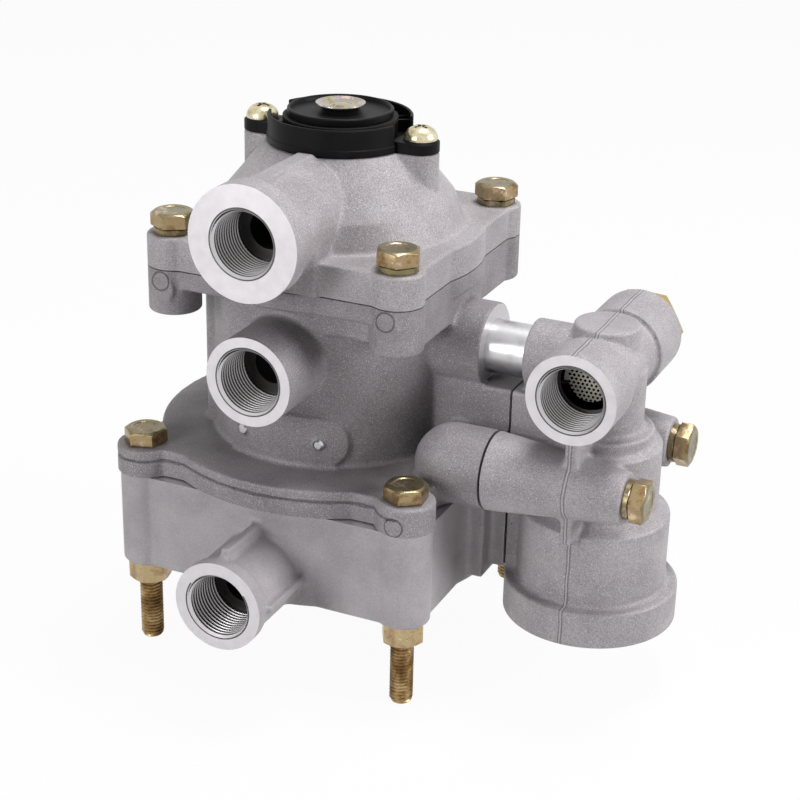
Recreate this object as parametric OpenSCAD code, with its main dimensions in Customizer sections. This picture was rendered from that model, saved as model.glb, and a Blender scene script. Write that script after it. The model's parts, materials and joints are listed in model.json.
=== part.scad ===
// Trailer brake valve: a stacked three-piece air valve with a side barrel.
// Origin on the main axis at the tips of the long bolts, Z up, all four air
// ports facing -Y and the side barrel at +X. Millimetres.

/* [Lower housing] */
// Half the spacing of the four long bolts
bolt_half = 48.6; // [48:0.2:53]
// Height of the lower housing
house_h = 34; // [32:0.5:42]
// Radius of the lower housing's round wall
house_r = 59.5; // [58:0.5:61]
// Radius of the lower housing's corner columns
column_r = 9; // [8:0.5:10]
// Radius of the bore for the control piston
lower_bore_r = 50; // [46:0.5:52]
// Thickness of the lower housing's floor
floor_t = 5.5; // [4:0.5:8]

/* [Middle housing] */
// Thickness of the lower flange
foot_flange_t = 9.7; // [8:0.1:12]
// Radius of the lower flange's round bulges
bulge_r = 61.4; // [60:0.2:64]
// Radius of the lower flange's corner lobes
foot_lobe_r = 9.8; // [9:0.1:11]
// Height of the middle housing from joint to joint
mid_h = 72.4; // [72:0.2:80]
// Outer radius of the waist
waist_r = 42.6; // [41.6:0.2:43.6]
// Radius of the bore for the emergency piston
mid_bore_r = 36; // [34:0.5:37]
// Thickness of the upper flange between its bosses
head_flange_t = 6.4; // [5:0.2:9]
// Depth of the upper flange's corner bosses
head_boss_h = 15.5; // [12:0.5:18]
// Half the spacing of the four cover bolts
cover_bolt_half = 40.4; // [39.6:0.2:42]
// Radius of the upper corners
cover_lobe_r = 8.8; // [8.4:0.1:10.5]

/* [Top cover] */
// Thickness of the cover's flange
cover_flange_t = 10.9; // [9:0.1:13]
// Height of the dome above the flange
dome_h = 26.4; // [25:0.2:29]
// Radius of the dome at its foot
dome_foot_r = 42.4; // [40:0.2:44]
// Radius of the dome at its top
dome_top_r = 24.6; // [24.6:0.2:27]
// Radius of the cover's lower cavity
cover_bore_r = 34; // [32:0.5:35]
// Radius of the cover's upper cavity
dome_bore_r = 21; // [19:0.5:22]
// Radius of the exhaust hole in the dome
exhaust_r = 9.5; // [8:0.25:11]

/* [Ports] */
// Wall radius of a tapped M22 x 1.5 port
port_r = 10.2; // [9.2:0.05:10.6]
// Depth of the tapped part of a port
port_depth = 17; // [14:0.5:18]
// Radius of the air way behind a port
way_r = 6.5; // [5:0.25:7.5]
// Outer radius of the lower port's boss
low_boss_r = 15.4; // [14:0.1:16]
// Distance of the lower port's face from the main axis
low_face = 86; // [80:0.5:90]
// Height of the lower port's axis above the housing's foot
low_port_up = 10.4; // [10:0.2:14]
// Outer radius of the waist port's boss
mid_boss_r = 15; // [14:0.1:16]
// Distance of the waist port's face from the main axis
mid_face = 64.4; // [62:0.2:70]
// Height of the waist port's axis above the lower joint
mid_port_up = 46.3; // [44:0.1:48]
// Outer radius of the cover port's boss
top_boss_r = 19; // [17:0.25:20]
// Distance of the cover port's face from the main axis
top_face = 67; // [64:0.5:72]
// Height of the cover port's axis above the upper joint
top_port_up = 20.4; // [19:0.2:22]

/* [Side barrel] */
// Distance of the barrel's axis from the main axis
barrel_x = 96.6; // [95:0.2:100]
// Height of the barrel's open end above the bolt tips
barrel_z0 = 23.7; // [22:0.1:27]
// Radius of the barrel's lower band
band_r = 29.4; // [27.6:0.2:30]
// Height of the barrel's lower band
band_h = 12.5; // [10:0.5:15]
// Radius of the barrel's body
barrel_r = 25.1; // [24.4:0.1:26]
// Height of the body's shoulder above the open end
shoulder_up = 38; // [36:0.5:41]
// Radius of the neck above the shoulder
neck_r = 20.8; // [20:0.1:23]
// Distance of each side bolt from the plane of the ports
side_bolt_y = 24.3; // [23.5:0.1:26]
// Height of the side bolts above the lower joint
side_bolt_up = 13.8; // [13.3:0.1:16]
// Outer radius of the bolt tubes
tube_boss_r = 13.3; // [12:0.1:13.6]
// Outer radius of the bolt tubes at their outer ends
tube_end_r = 8.6; // [8:0.1:11]
// Height of the cross arm above the lower joint
arm_up = 47.2; // [46:0.2:50]
// Outer radius of the arm's port end
arm_r = 15; // [14:0.1:16]
// Distance of the arm's port face from the barrel's axis
arm_face = 33; // [31:0.5:38]
// Distance of the arm's rear end from the barrel's axis
arm_rear = 36; // [35:0.5:40]
// Radius of the valve chamber in the barrel
chamber_r = 15.5; // [14:0.25:16]
// Radius of the barrel's bottom bore
cap_bore_r = 21; // [19:0.25:22]

/* [Transfer tube] */
// Outer radius of the steel tube
steel_r = 9; // [8:0.1:9.4]
// Wall of the steel tube
steel_wall = 1.5; // [1:0.1:2.5]
// Distance of the tube boss's face from the main axis
tube_face = 58; // [56:0.2:60]
// Outer radius of the tube boss
tube_socket_r = 14.5; // [13.5:0.1:15]
// Depth of the tube in each socket
tube_seat = 10; // [8:0.5:11]
// Distance of the arm's tube socket from the main axis
elbow_x = 72; // [70.4:0.2:74]

/* [Moving parts] */
// Travel of the control piston
control_travel = 5; // [4:0.25:6]
// Share of the piston's travel that the inlet valve takes
valve_ratio = 0.66; // [0.66:0.01:0.7]
// Gap between the exhaust seat and the inlet valve at rest
exhaust_gap = 2; // [2:0.1:3]
// Travel of the emergency piston
emergency_travel = 4; // [3:0.25:5]
// Travel of the check valve
check_travel = 3; // [2:0.25:4]
// Travel of the strainer against its spring
strainer_travel = 3; // [2:0.25:3.5]
// Radial running clearance of pistons and stems
run = 0.05; // [0.02:0.01:0.08]
// Clearance between pieces that only lie near each other
near = 0.3; // [0.3:0.05:0.4]

/* [Fasteners] */
// Thread radius of the M8 bolts
bolt_r = 4; // [3:0.5:4]
// Width across flats of heads and nuts
hex_af = 13; // [12:0.5:14]
// Height of a bolt head
head_h = 5.3; // [4.5:0.1:6]
// Height of a nut
nut_h = 8; // [6:0.1:9]
// Free thread below the nuts
stud_free = 23.3; // [20:0.1:32]
// Length of the cover bolts
cover_bolt_len = 24; // [22:1:26]
// Length of the side bolts
side_bolt_len = 65; // [62:1:66]
// Thickness of a spring washer
washer_t = 2; // [1.6:0.1:2.4]
// Outer radius of a spring washer
washer_r = 6.6; // [6.2:0.1:7]
// Radial clearance of a bolt in its through hole
hole_gap = 0.4; // [0.3:0.05:0.6]

/* [Vent] */
// Half the spacing of the two vent screws
vent_half = 29.2; // [28.4:0.1:30]
// Radius of the ears that carry the vent screws
ear_r = 6.2; // [5.4:0.1:6.6]
// Outer radius of the vent's skirt
skirt_r = 24.4; // [23.5:0.1:24.6]
// Height of the vent's skirt
skirt_h = 9.2; // [7:0.2:10]
// Outer radius of the vent's cup
cup_r = 17.6; // [17:0.2:19]
// Height of the cup's rim above the dome
cup_h = 11.2; // [10:0.2:12.6]
// Radius of the rivet head in the cup
rivet_r = 8.3; // [6:0.1:9]
// Radius of the vent screws' heads
screw_head_r = 5.5; // [4.8:0.1:6]

/* [Hidden] */
$fn = 72;

// Heights of the joints and faces, from the bolt tips upwards
z_foot = stud_free + nut_h;
z_joint = z_foot + house_h;
z_flange = z_joint + foot_flange_t;
z_cover = z_joint + mid_h;
z_cover_flange = z_cover + cover_flange_t;
z_dome = z_cover_flange + dome_h;
z_floor = z_foot + floor_t;
z_low_port = z_foot + low_port_up;
z_mid_port = z_joint + mid_port_up;
z_top_port = z_cover + top_port_up;
z_arm = z_joint + arm_up;
z_side_bolt = z_joint + side_bolt_up;
z_shoulder = barrel_z0 + shoulder_up;

// Small overlap that lets two solids cut or join cleanly, and a length past all of them
e = 0.02;
far = 90;
seal_wire = 1.3;
tube_seal_in = 3;
hole_r = bolt_r + hole_gap;
thread_under = 0.25;
hex_r = hex_af / sqrt(3);
dome_edge = 9;
dome_edge_r = dome_foot_r - 3.4;
port_chamfer = 1;
port_collar = 1.2;
port_collar_len = 5;
rib_t = 3;

// Flat sides of the housings, set in from the corner lobes
foot_side_in = 5.6;
foot_side = bolt_half + foot_lobe_r - foot_side_in;
house_side_in = 1.6;
house_side = bolt_half + column_r - house_side_in;
cover_side_in = 1.8;
cover_side = cover_bolt_half + cover_lobe_r - cover_side_in;
cover_bulge_over = 0.4;
cover_bulge_r = cover_side + cover_side_in + cover_bulge_over;
floor_pocket = 2;
floor_pocket_in = 14;
floor_pocket_r = lower_bore_r - floor_pocket_in;

// Step round the lower flange, blank plate pad, ejector marks and bead
foot_step = 0.9;
foot_step_z = 5.2;
foot_step_h = 1.5;
plate_half = 14;
plate_r = 9;
plate_z = z_flange + plate_r;
plate_pad_out = 1.6;
plate_pad_r = waist_r + plate_pad_out;
pin_hole_out = 4;
pin_hole_in = 3;
pin_r = 1.2;
pin_head_r = 1.9;
pin_head_h = 0.8;
pin_len = 2.4;
mark_r = 4.6;
mark_t = 0.3;
bead_angle = 205;
bead_r = 6;
bead_out = 3;
cover_bolt_depth = cover_bolt_len - cover_flange_t - washer_t + 1;

// Cover: big port's collar, rib and foot
top_collar = 2.2;
top_collar_len = 8;
top_rib_half = 3;
top_foot_half = top_boss_r - 3;
exhaust_pocket = 3;
exhaust_pocket_r = 16.6;
screw_hole_depth = 9;

// Joint between the middle housing and the barrel
gasket_t = 0.8;
gasket_x = 68.4;
gasket_in = 1.2;
web_half = 11;
tube_root = gasket_x - tube_boss_r;
fill_x = tube_root - 6;
barrel_face = gasket_x + gasket_t;
side_tube_over = 18;
side_tube_end = barrel_x + side_tube_over;
side_bolt_end = side_tube_end + washer_t - side_bolt_len;
bolt_blind = 3;
bar_z0 = z_side_bolt - tube_boss_r + 3;
bar_h = 2 * tube_boss_r - 8;
web_top = z_arm - tube_socket_r + 4;

// Barrel: shoulder cone, ring, lug, arm and seam rib
shoulder_cone = 2.4;
neck_over = 8;
ring_h = 13;
ring_in = 3;
ring_r = neck_r - ring_in;
lug_r = 10.9;
lug_foot_r = lug_r + 3;
arm_waist_r = arm_r - 2;
arm_collar_len = 18;
arm_rear_len = 22;
elbow_r = steel_r + 2.8;
seam_rib_t = 4;
seam_rib_out = 9;
seam_rib_y = neck_r + seam_rib_out;
seam_rib_len = 20;

// Pads low on the housing and the barrel, with a seal between them
pad_half = 10;
pad_z0 = z_foot + 5;
pad_z1 = z_joint - 3;
pad_way_r = 3;
foot_pad_x = 63;
foot_pad_half = 16;
foot_pad_up = 2.2;

// Control piston, in the lower bore
piston_t = 8;
piston_up = 9.5;
piston_z0 = z_floor + piston_up;
hub_r = 13;
hub_over = 8;
hub_top = z_flange + hub_over;
hub_wall = 3;
hub_pocket = 7;
nose_r = 6.4;
nose_bore_r = 4;
nose_bore_under = 4;
deck_in = 2;
deck_z0 = z_joint + deck_in;
spring_wire = 2.6;
spring_turns = 2.5;
spring_in = 10;
spring_r = lower_bore_r - spring_in;

// Emergency piston, in the waist
land_t = 9;
emerg_h = 46;
emerg_z1 = z_cover;
emerg_z0 = emerg_z1 - emerg_h;
emerg_wire = 2.6;
emerg_spring_in = 6;
emerg_spring_r = mid_bore_r - emerg_spring_in;
land_deep = 10;
emerg_waist_r = mid_bore_r - land_deep;
emerg_bore_r = 16;
seat_r = 9;
seat_t = 4;
seat_up = 11.5;
seat_z = emerg_z0 + seat_up;
cross_hole_r = 3;
cross_hole_up = 8;

// Inlet valve and its guide
valve_z = seat_z + seat_t;
valve_rubber_t = 3;
valve_r = 12;
valve_t = 3;
inlet_wire = 1.4;
stem_r = 6;
stem_bore_r = 4;
guide_flange_t = 4;
guide_under = 6.5;
guide_z1 = z_dome - guide_under;
guide_r = 11;
valve_free = 24;
guide_z0 = valve_z + valve_rubber_t + valve_free;
stem_in_guide = 26;
stem_top = guide_z0 + stem_in_guide;
guide_rim = 4.5;
guide_flange_r = guide_r + guide_rim;
inlet_spring_out = 2.6;

// Strainer and plug in the arm
arm_bore_r = port_r + 0.8;
plug_r = 11.6;
plug_len = 10;
plug_hex_af = 24;
plug_hex_h = 5.2;
plug_seal_t = 1.2;
plug_in = arm_rear - plug_len + 0.5;
strainer_r = 9.2;
strainer_wall = 0.8;
strainer_y0 = -arm_face + port_depth + 1;
strainer_len = 12;
strainer_rim = 2;
strainer_seat_y = strainer_y0 + strainer_len - strainer_rim;
strainer_hole_r = 0.62;
strainer_pitch = 2.1;
strainer_wire = 1.2;

// Check valve in the barrel
seat_check_z = z_side_bolt + neck_over;
cap_bore_depth = 34;
chamber_z0 = barrel_z0 + cap_bore_depth;
check_way_r = 6;
check_r = 10.5;
check_t = 4;
check_stem_r = 4;
check_stem_seat = 14;
check_wire = 1.4;
cap_in = 4;
cap_z0 = barrel_z0 + cap_in;
cap_floor = 3;
cap_t = 8;
cap_guide_r = 7;
cap_guide_h = 22;
clip_t = 1.6;
clip_in = 1.6;
clip_out = 1.2;
clip_gap = 4;
check_rubber_t = 2;
check_base_z = seat_check_z - check_rubber_t - check_t;
check_stem_z0 = cap_z0 + cap_t + cap_guide_h - check_stem_seat;

// Vent stack
vent_plate_t = 2.4;
vent_wall = 2;
vent_ear_t = 4;
flap_t = 1.2;
screw_r = 2.4;
cup_base_t = 2.7;
cup_trough = 1;
cup_lip = 1.6;
flap_r = cup_r + 1.5;
ear_gap = 6;
rivet_pin_r = 1.8;
rivet_edge = 0.8;
kidney_r = 3.6;
kidney_out = 12.5;
flap_z = z_dome + cup_h - cup_base_t - flap_t;
screw_shank = 8;
screw_dome_h = 4.6;
screw_dome_r = (screw_head_r * screw_head_r + screw_dome_h * screw_dome_h) / (2 * screw_dome_h) + 0.3;

// Colours
cast = "lightgray";
zinc = "goldenrod";
steel = "silver";
rubber = [0.08, 0.08, 0.09];
plastic = [0.12, 0.12, 0.13];
brass = "peru";
alloy = "gainsboro";

module corners(half) {
    for (sx = [-1, 1], sy = [-1, 1])
        translate([sx * half, sy * half, 0]) children();
}

module along_x(x0, x1, y, z, r) {
    translate([x0, y, z]) rotate([0, 90, 0]) cylinder(r = r, h = x1 - x0);
}

module along_y(y0, y1, x, z, r) {
    translate([x, y1, z]) rotate([90, 0, 0]) cylinder(r = r, h = y1 - y0);
}

module ring(r, wire, z) {
    translate([0, 0, z]) rotate_extrude() translate([r, 0]) circle(r = wire, $fn = 24);
}

module pipe(r_out, r_in, z0, z1) {
    translate([0, 0, z0]) difference() {
        cylinder(r = r_out, h = z1 - z0);
        translate([0, 0, -1]) cylinder(r = r_in, h = z1 - z0 + 2);
    }
}

// A hexagon's corners carry the cone that a turned head has on its outer face
module hex(af, h) {
    intersection() {
        cylinder(r = af / sqrt(3), h = h, $fn = 6);
        rotate_extrude() polygon([
            [0, 0], [af / sqrt(3) + 1, 0], [af / sqrt(3) + 1, h - 1.2],
            [af / 2 - 0.2, h], [0, h]
        ]);
    }
}

// A bolt whose head stands on z = 0 and whose shank hangs below. The thread that
// stands free of the nut has its mean radius, a little under the shank's.
module bolt(len, free = 0) {
    hex(hex_af, head_h);
    translate([0, 0, free - len]) cylinder(r = bolt_r, h = len - free + e);
    if (free > 0) translate([0, 0, -len]) cylinder(r = bolt_r - thread_under, h = free + e);
}

module spring_washer() {
    pipe(washer_r, bolt_r + 0.15, 0, washer_t);
}

// A round wire on a helix, with its ends laid flat
module coil(r, wire, z0, z1, turns) {
    steps = 18;
    sides = 6;
    n = turns * steps;
    lift = function(k) z0 + wire / 2
        + (z1 - z0 - wire) * min(1, max(0, (k / steps - 0.75) / (turns - 1.5)));
    points = [for (k = [0:n], j = [0:sides - 1])
        let (a = k * 360 / steps, b = j * 360 / sides, q = r + wire / 2 * cos(b))
        [q * cos(a), q * sin(a), lift(k) + wire / 2 * sin(b)]];
    walls = [for (k = [0:n - 1], j = [0:sides - 1])
        let (a = k * sides + j, b = k * sides + (j + 1) % sides)
        [b, a, a + sides, b + sides]];
    ends = [[for (j = [0:sides - 1]) j], [for (j = [sides - 1:-1:0]) n * sides + j]];
    polyhedron(points, concat(walls, ends), convexity = 10);
}

// The cut for a tapped port that faces -Y: chamfer, thread and air way
module port_cut(x, face, z, way_to) {
    along_y(-face - 1, -face + port_depth, x, z, port_r);
    along_y(-face, -way_to, x, z, way_r);
    translate([x, -face - e, z]) rotate([-90, 0, 0])
        cylinder(r1 = port_r + port_chamfer, r2 = port_r, h = port_chamfer);
}

// Outline of a housing: round bulges, flat sides and corner lobes
module outline(round_r, side, half, lobe, h) {
    cylinder(r = round_r, h = h);
    translate([-side, -half, 0]) cube([2 * side, 2 * half, h]);
    translate([-half, -side, 0]) cube([2 * half, 2 * side, h]);
    corners(half) cylinder(r = lobe, h = h);
}

module lower_housing() {
    color(cast) difference() {
        union() {
            translate([0, 0, z_foot]) outline(house_r, house_side, bolt_half, column_r, house_h);
            along_y(-low_face, -lower_bore_r - 4, 0, z_low_port, low_boss_r - port_collar);
            along_y(-low_face, -low_face + port_collar_len, 0, z_low_port, low_boss_r);
            // Ribs that tie the port boss to the wall
            translate([-rib_t / 2, -low_face + port_collar_len, z_low_port])
                cube([rib_t, low_face - house_r, low_boss_r + rib_t]);
            for (s = [-1, 1])
                translate([s * low_boss_r - rib_t / 2, -low_face + port_collar_len, z_low_port - rib_t / 2])
                    cube([rib_t, low_face - house_r, rib_t]);
            // Pad for the barrel
            translate([house_r - 8, -pad_half, pad_z0])
                cube([gasket_x - house_r + 8, 2 * pad_half, pad_z1 - pad_z0]);
            translate([0, -foot_pad_half, z_foot + foot_pad_up])
                cube([foot_pad_x, 2 * foot_pad_half, house_h - foot_pad_up]);
        }
        translate([0, 0, z_floor]) cylinder(r = lower_bore_r, h = house_h);
        translate([0, 0, z_foot - 1]) corners(bolt_half) cylinder(r = hole_r, h = house_h + 2);
        port_cut(0, low_face, z_low_port, lower_bore_r - 2);
        along_x(lower_bore_r - 4, gasket_x + 1, 0, z_low_port, pad_way_r);
        // Shallow pocket under the floor
        translate([0, 0, z_foot - 1]) cylinder(r = floor_pocket_r, h = floor_pocket + 1);
        translate([0, 0, z_joint]) ring_groove(lower_bore_r + 3);
    }
}

module ring_groove(r) {
    rotate_extrude() translate([r - seal_wire, -seal_wire]) square([2 * seal_wire, seal_wire + 1]);
}

module joint_seal_lower() {
    color(rubber) translate([0, 0, z_joint - seal_wire])
        pipe(lower_bore_r + 3 + seal_wire, lower_bore_r + 3 - seal_wire, 0, seal_wire);
}

module joint_seal_upper() {
    color(rubber) translate([0, 0, z_cover - seal_wire])
        pipe(mid_bore_r + 3 + seal_wire, mid_bore_r + 3 - seal_wire, 0, seal_wire);
}

// The two round ends of the joint between housing and barrel
module joint_face(x0, x1, r) {
    for (s = [-1, 1]) along_x(x0, x1, s * side_bolt_y, z_side_bolt, r);
}

// The blank pad that a name plate is pinned to
module plate_pad() {
    intersection() {
        cylinder(r = plate_pad_r, h = z_cover);
        union() {
            for (s = [-1, 1]) along_y(-plate_pad_r - 1, -waist_r + 5, s * plate_half, plate_z, plate_r);
            translate([-plate_half, -plate_pad_r - 1, plate_z - plate_r])
                cube([2 * plate_half, plate_pad_r - waist_r + 6, 2 * plate_r]);
        }
    }
}

module middle_housing() {
    color(cast) difference() {
        union() {
            translate([0, 0, z_joint])
                outline(bulge_r, foot_side, bolt_half, foot_lobe_r, foot_flange_t);
            translate([0, 0, z_joint]) cylinder(r = waist_r, h = mid_h);
            translate([0, 0, z_cover - head_flange_t])
                outline(cover_bulge_r, cover_side, cover_bolt_half, cover_lobe_r, head_flange_t);
            translate([0, 0, z_cover - head_boss_h])
                corners(cover_bolt_half) cylinder(r = cover_lobe_r, h = head_boss_h);
            // Full-depth wall above the tube boss
            translate([0, -cover_bolt_half, z_cover - head_boss_h])
                cube([cover_side, 2 * cover_bolt_half, head_boss_h]);
            along_x(0, tube_face, 0, z_arm, tube_socket_r);
            // Web between the bolt tubes and the tube boss
            translate([0, -web_half, z_joint])
                cube([gasket_x, 2 * web_half, web_top - z_joint]);
            joint_face(tube_root, gasket_x, tube_boss_r);
            for (s = [-1, 1])
                translate([tube_root, s * side_bolt_y, z_side_bolt]) sphere(r = tube_boss_r);
            translate([fill_x, -side_bolt_y, bar_z0]) cube([gasket_x - fill_x, 2 * side_bolt_y, bar_h]);
            along_y(-mid_face, 0, 0, z_mid_port, mid_boss_r);
            // Upright bead on the left of the waist
            rotate([0, 0, bead_angle]) translate([waist_r - bead_r + bead_out, 0, z_joint])
                cylinder(r = bead_r, h = mid_h - head_flange_t / 2);
            // Ejector marks on the corner bosses
            for (s = [-1, 1]) along_y(-cover_bolt_half - cover_lobe_r - mark_t, -cover_bolt_half,
                s * cover_bolt_half, z_cover - head_flange_t, mark_r);
            plate_pad();
        }
        translate([0, 0, z_joint - 1]) corners(bolt_half) cylinder(r = hole_r, h = foot_flange_t + 2);
        translate([0, 0, z_cover - cover_bolt_depth]) corners(cover_bolt_half)
            cylinder(r = bolt_r, h = cover_bolt_depth + 1);
        translate([0, 0, z_joint - 1]) cylinder(r = lower_bore_r, h = deck_z0 - z_joint + 1);
        translate([0, 0, z_joint - 1]) cylinder(r = hub_r + run, h = mid_h);
        translate([0, 0, z_flange]) cylinder(r = mid_bore_r, h = mid_h);
        port_cut(0, mid_face, z_mid_port, mid_bore_r - 2);
        along_x(mid_bore_r - 4, tube_face, 0, z_arm, way_r);
        along_x(tube_face - tube_seat - near, tube_face + 1, 0, z_arm, steel_r + run);
        along_x(tube_face - tube_seal_in - 2 * seal_wire, tube_face - tube_seal_in, 0, z_arm,
            steel_r + 2 * seal_wire);
        for (s = [-1, 1])
            along_x(side_bolt_end - bolt_blind, gasket_x + 1, s * side_bolt_y, z_side_bolt, bolt_r);
        // Step that runs round the lower flange's edge
        translate([0, 0, z_joint + foot_step_z]) difference() {
            translate([-far, -far, 0]) cube([2 * far, 2 * far, foot_step_h]);
            translate([0, 0, -1]) outline(bulge_r - foot_step, foot_side - foot_step, bolt_half,
                foot_lobe_r - foot_step, foot_step_h + 2);
            translate([tube_root, -far, -1]) cube([far, 2 * far, foot_step_h + 2]);
            translate([-far, -bolt_half, -1]) cube([2 * far, 2 * bolt_half, foot_step_h + 2]);
        }
        translate([0, 0, z_cover]) ring_groove(mid_bore_r + 3);
        for (s = [-1, 1]) along_y(-waist_r - pin_hole_out, -waist_r + pin_hole_in, s * plate_half, plate_z, pin_r);
    }
}

module plate_pins() {
    head_in = plate_half - pin_head_r;
    pin_y = -sqrt(plate_pad_r * plate_pad_r - head_in * head_in);
    color(steel) for (s = [-1, 1]) translate([s * plate_half, pin_y, plate_z]) rotate([-90, 0, 0]) {
        translate([0, 0, -pin_head_h]) cylinder(r1 = pin_r, r2 = pin_head_r, h = pin_head_h);
        translate([0, 0, -e]) cylinder(r = pin_r, h = pin_len);
    }
}

module top_cover() {
    color(cast) difference() {
        union() {
            translate([0, 0, z_cover])
                outline(cover_bulge_r, cover_side, cover_bolt_half, cover_lobe_r, cover_flange_t);
            translate([0, 0, z_cover]) rotate_extrude() polygon([
                [0, 0], [dome_foot_r, 0], [dome_foot_r, cover_flange_t],
                [dome_edge_r, cover_flange_t + dome_edge],
                [dome_top_r, cover_flange_t + dome_h], [0, cover_flange_t + dome_h]
            ]);
            for (s = [-1, 1]) {
                translate([s * vent_half, 0, z_cover + cover_flange_t]) cylinder(r = ear_r, h = dome_h);
                translate([s * vent_half / 2 - vent_half / 2, -ear_r, z_cover + cover_flange_t])
                    cube([vent_half, 2 * ear_r, dome_h]);
            }
            along_y(-top_face, 0, 0, z_top_port, top_boss_r - top_collar);
            along_y(-top_face, -top_face + top_collar_len, 0, z_top_port, top_boss_r);
            // Rib on top of the port boss
            translate([-top_rib_half, -top_face + top_collar_len - 1, z_top_port])
                cube([2 * top_rib_half, top_face - dome_top_r - 4, top_boss_r - top_collar + 1.5]);
            // Foot of the port boss on the flange
            translate([-top_foot_half, -cover_bolt_half - cover_lobe_r, z_cover])
                cube([2 * top_foot_half, cover_bolt_half, z_top_port - z_cover]);
        }
        translate([0, 0, z_cover - 1]) corners(cover_bolt_half)
            cylinder(r = hole_r, h = cover_flange_t + 2);
        translate([0, 0, z_cover - 1]) cylinder(r = cover_bore_r, h = cover_flange_t + 2);
        translate([0, 0, z_cover - 1]) cylinder(r = dome_bore_r, h = guide_z1 - z_cover + 1);
        translate([0, 0, z_cover]) cylinder(r = exhaust_r, h = cover_flange_t + dome_h + 1);
        translate([0, 0, z_dome - exhaust_pocket]) cylinder(r = exhaust_pocket_r, h = exhaust_pocket + 1);
        // Round seat for the vent, cut clear of the rib and the port boss
        translate([0, 0, z_dome]) cylinder(r = skirt_r + near, h = far);
        port_cut(0, top_face, z_top_port, dome_bore_r - 2);
        for (s = [-1, 1])
            translate([s * vent_half, 0, z_dome - screw_hole_depth])
                cylinder(r = screw_r, h = screw_hole_depth + 1);
    }
}

module housing_bolts() {
    color(zinc) translate([0, 0, z_flange]) corners(bolt_half) bolt(z_flange, stud_free);
}

module housing_nuts() {
    color(zinc) translate([0, 0, z_foot]) corners(bolt_half) mirror([0, 0, 1]) difference() {
        hex(hex_af, nut_h);
        translate([0, 0, -1]) cylinder(r = bolt_r, h = nut_h + 2);
    }
}

module cover_bolts() {
    color(zinc) translate([0, 0, z_cover_flange + washer_t]) corners(cover_bolt_half)
        bolt(cover_bolt_len);
}

module cover_washers() {
    color(zinc) translate([0, 0, z_cover_flange]) corners(cover_bolt_half) spring_washer();
}

module side_barrel() {
    color(cast) difference() {
        union() {
            translate([barrel_x, 0, barrel_z0]) cylinder(r = band_r, h = band_h);
            translate([barrel_x, 0, barrel_z0]) cylinder(r = barrel_r, h = shoulder_up);
            translate([barrel_x, 0, z_shoulder]) cylinder(r1 = barrel_r, r2 = neck_r, h = shoulder_cone);
            translate([barrel_x, 0, z_shoulder])
                cylinder(r = neck_r, h = z_side_bolt - z_shoulder + neck_over);
            translate([barrel_x, 0, z_side_bolt]) cylinder(r = ring_r, h = ring_h);
            translate([barrel_x, 0, z_side_bolt]) cylinder(r = lug_foot_r, h = z_arm - z_side_bolt);
            translate([barrel_x, 0, z_arm]) cylinder(r = lug_r, h = arm_r);
            for (s = [-1, 1])
                translate([barrel_face, s * side_bolt_y, z_side_bolt]) rotate([0, 90, 0])
                    cylinder(r1 = tube_boss_r, r2 = tube_end_r, h = side_tube_end - barrel_face);
            translate([barrel_face, -side_bolt_y, bar_z0])
                cube([barrel_x - barrel_face, 2 * side_bolt_y, bar_h]);
            translate([barrel_face, -web_half, z_side_bolt])
                cube([barrel_x - barrel_face, 2 * web_half, web_top - z_side_bolt]);
            along_y(-arm_face, arm_rear, barrel_x, z_arm, arm_waist_r);
            along_y(-arm_face, -arm_face + arm_collar_len, barrel_x, z_arm, arm_r);
            along_y(arm_rear - arm_rear_len, arm_rear, barrel_x, z_arm, arm_r);
            along_x(elbow_x, barrel_x, 0, z_arm, elbow_r);
            // Casting rib down the front
            translate([barrel_x - seam_rib_t / 2, -seam_rib_y, z_shoulder - 1])
                cube([seam_rib_t, seam_rib_len, z_arm - z_shoulder - seam_rib_t]);
            // Pad towards the lower housing
            translate([barrel_face, -pad_half, pad_z0])
                cube([barrel_x - barrel_face, 2 * pad_half, pad_z1 - pad_z0]);
        }
        translate([barrel_x, 0, barrel_z0 - 1]) cylinder(r = cap_bore_r, h = chamber_z0 - barrel_z0 + 1);
        translate([barrel_x, 0, barrel_z0]) cylinder(r = chamber_r, h = seat_check_z - barrel_z0);
        translate([barrel_x, 0, barrel_z0]) cylinder(r = check_way_r, h = z_arm - barrel_z0);
        translate([barrel_x, 0, cap_z0 - clip_t]) cylinder(r = cap_bore_r + clip_out, h = clip_t);
        port_cut(barrel_x, arm_face, z_arm, arm_face - port_depth - 1);
        along_y(-arm_face + port_depth - e, strainer_seat_y + 1, barrel_x, z_arm, strainer_r + near);
        along_y(strainer_seat_y, arm_rear + 1, barrel_x, z_arm, arm_bore_r);
        along_y(arm_rear - plug_len, arm_rear + 1, barrel_x, z_arm, plug_r);
        along_x(elbow_x - 1, elbow_x + tube_seat + near, 0, z_arm, steel_r + run);
        along_x(elbow_x, barrel_x, 0, z_arm, way_r);
        for (s = [-1, 1])
            along_x(barrel_face - 1, side_tube_end + 1, s * side_bolt_y, z_side_bolt, hole_r);
        along_x(barrel_face - 1, barrel_x, 0, z_low_port, pad_way_r);
    }
}

module side_gasket() {
    color(rubber) difference() {
        union() {
            joint_face(gasket_x, barrel_face, tube_boss_r - gasket_in);
            translate([gasket_x, -side_bolt_y, bar_z0 + gasket_in])
                cube([gasket_t, 2 * side_bolt_y, bar_h - 2 * gasket_in]);
        }
        for (s = [-1, 1]) along_x(gasket_x - 1, barrel_face + 1, s * side_bolt_y, z_side_bolt, hole_r);
    }
}

module lower_pad_seal() {
    color(rubber) difference() {
        translate([gasket_x, -pad_half + gasket_in, pad_z0 + gasket_in])
            cube([gasket_t, 2 * (pad_half - gasket_in), pad_z1 - pad_z0 - 2 * gasket_in]);
        along_x(gasket_x - 1, barrel_face + 1, 0, z_low_port, pad_way_r);
    }
}

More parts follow.
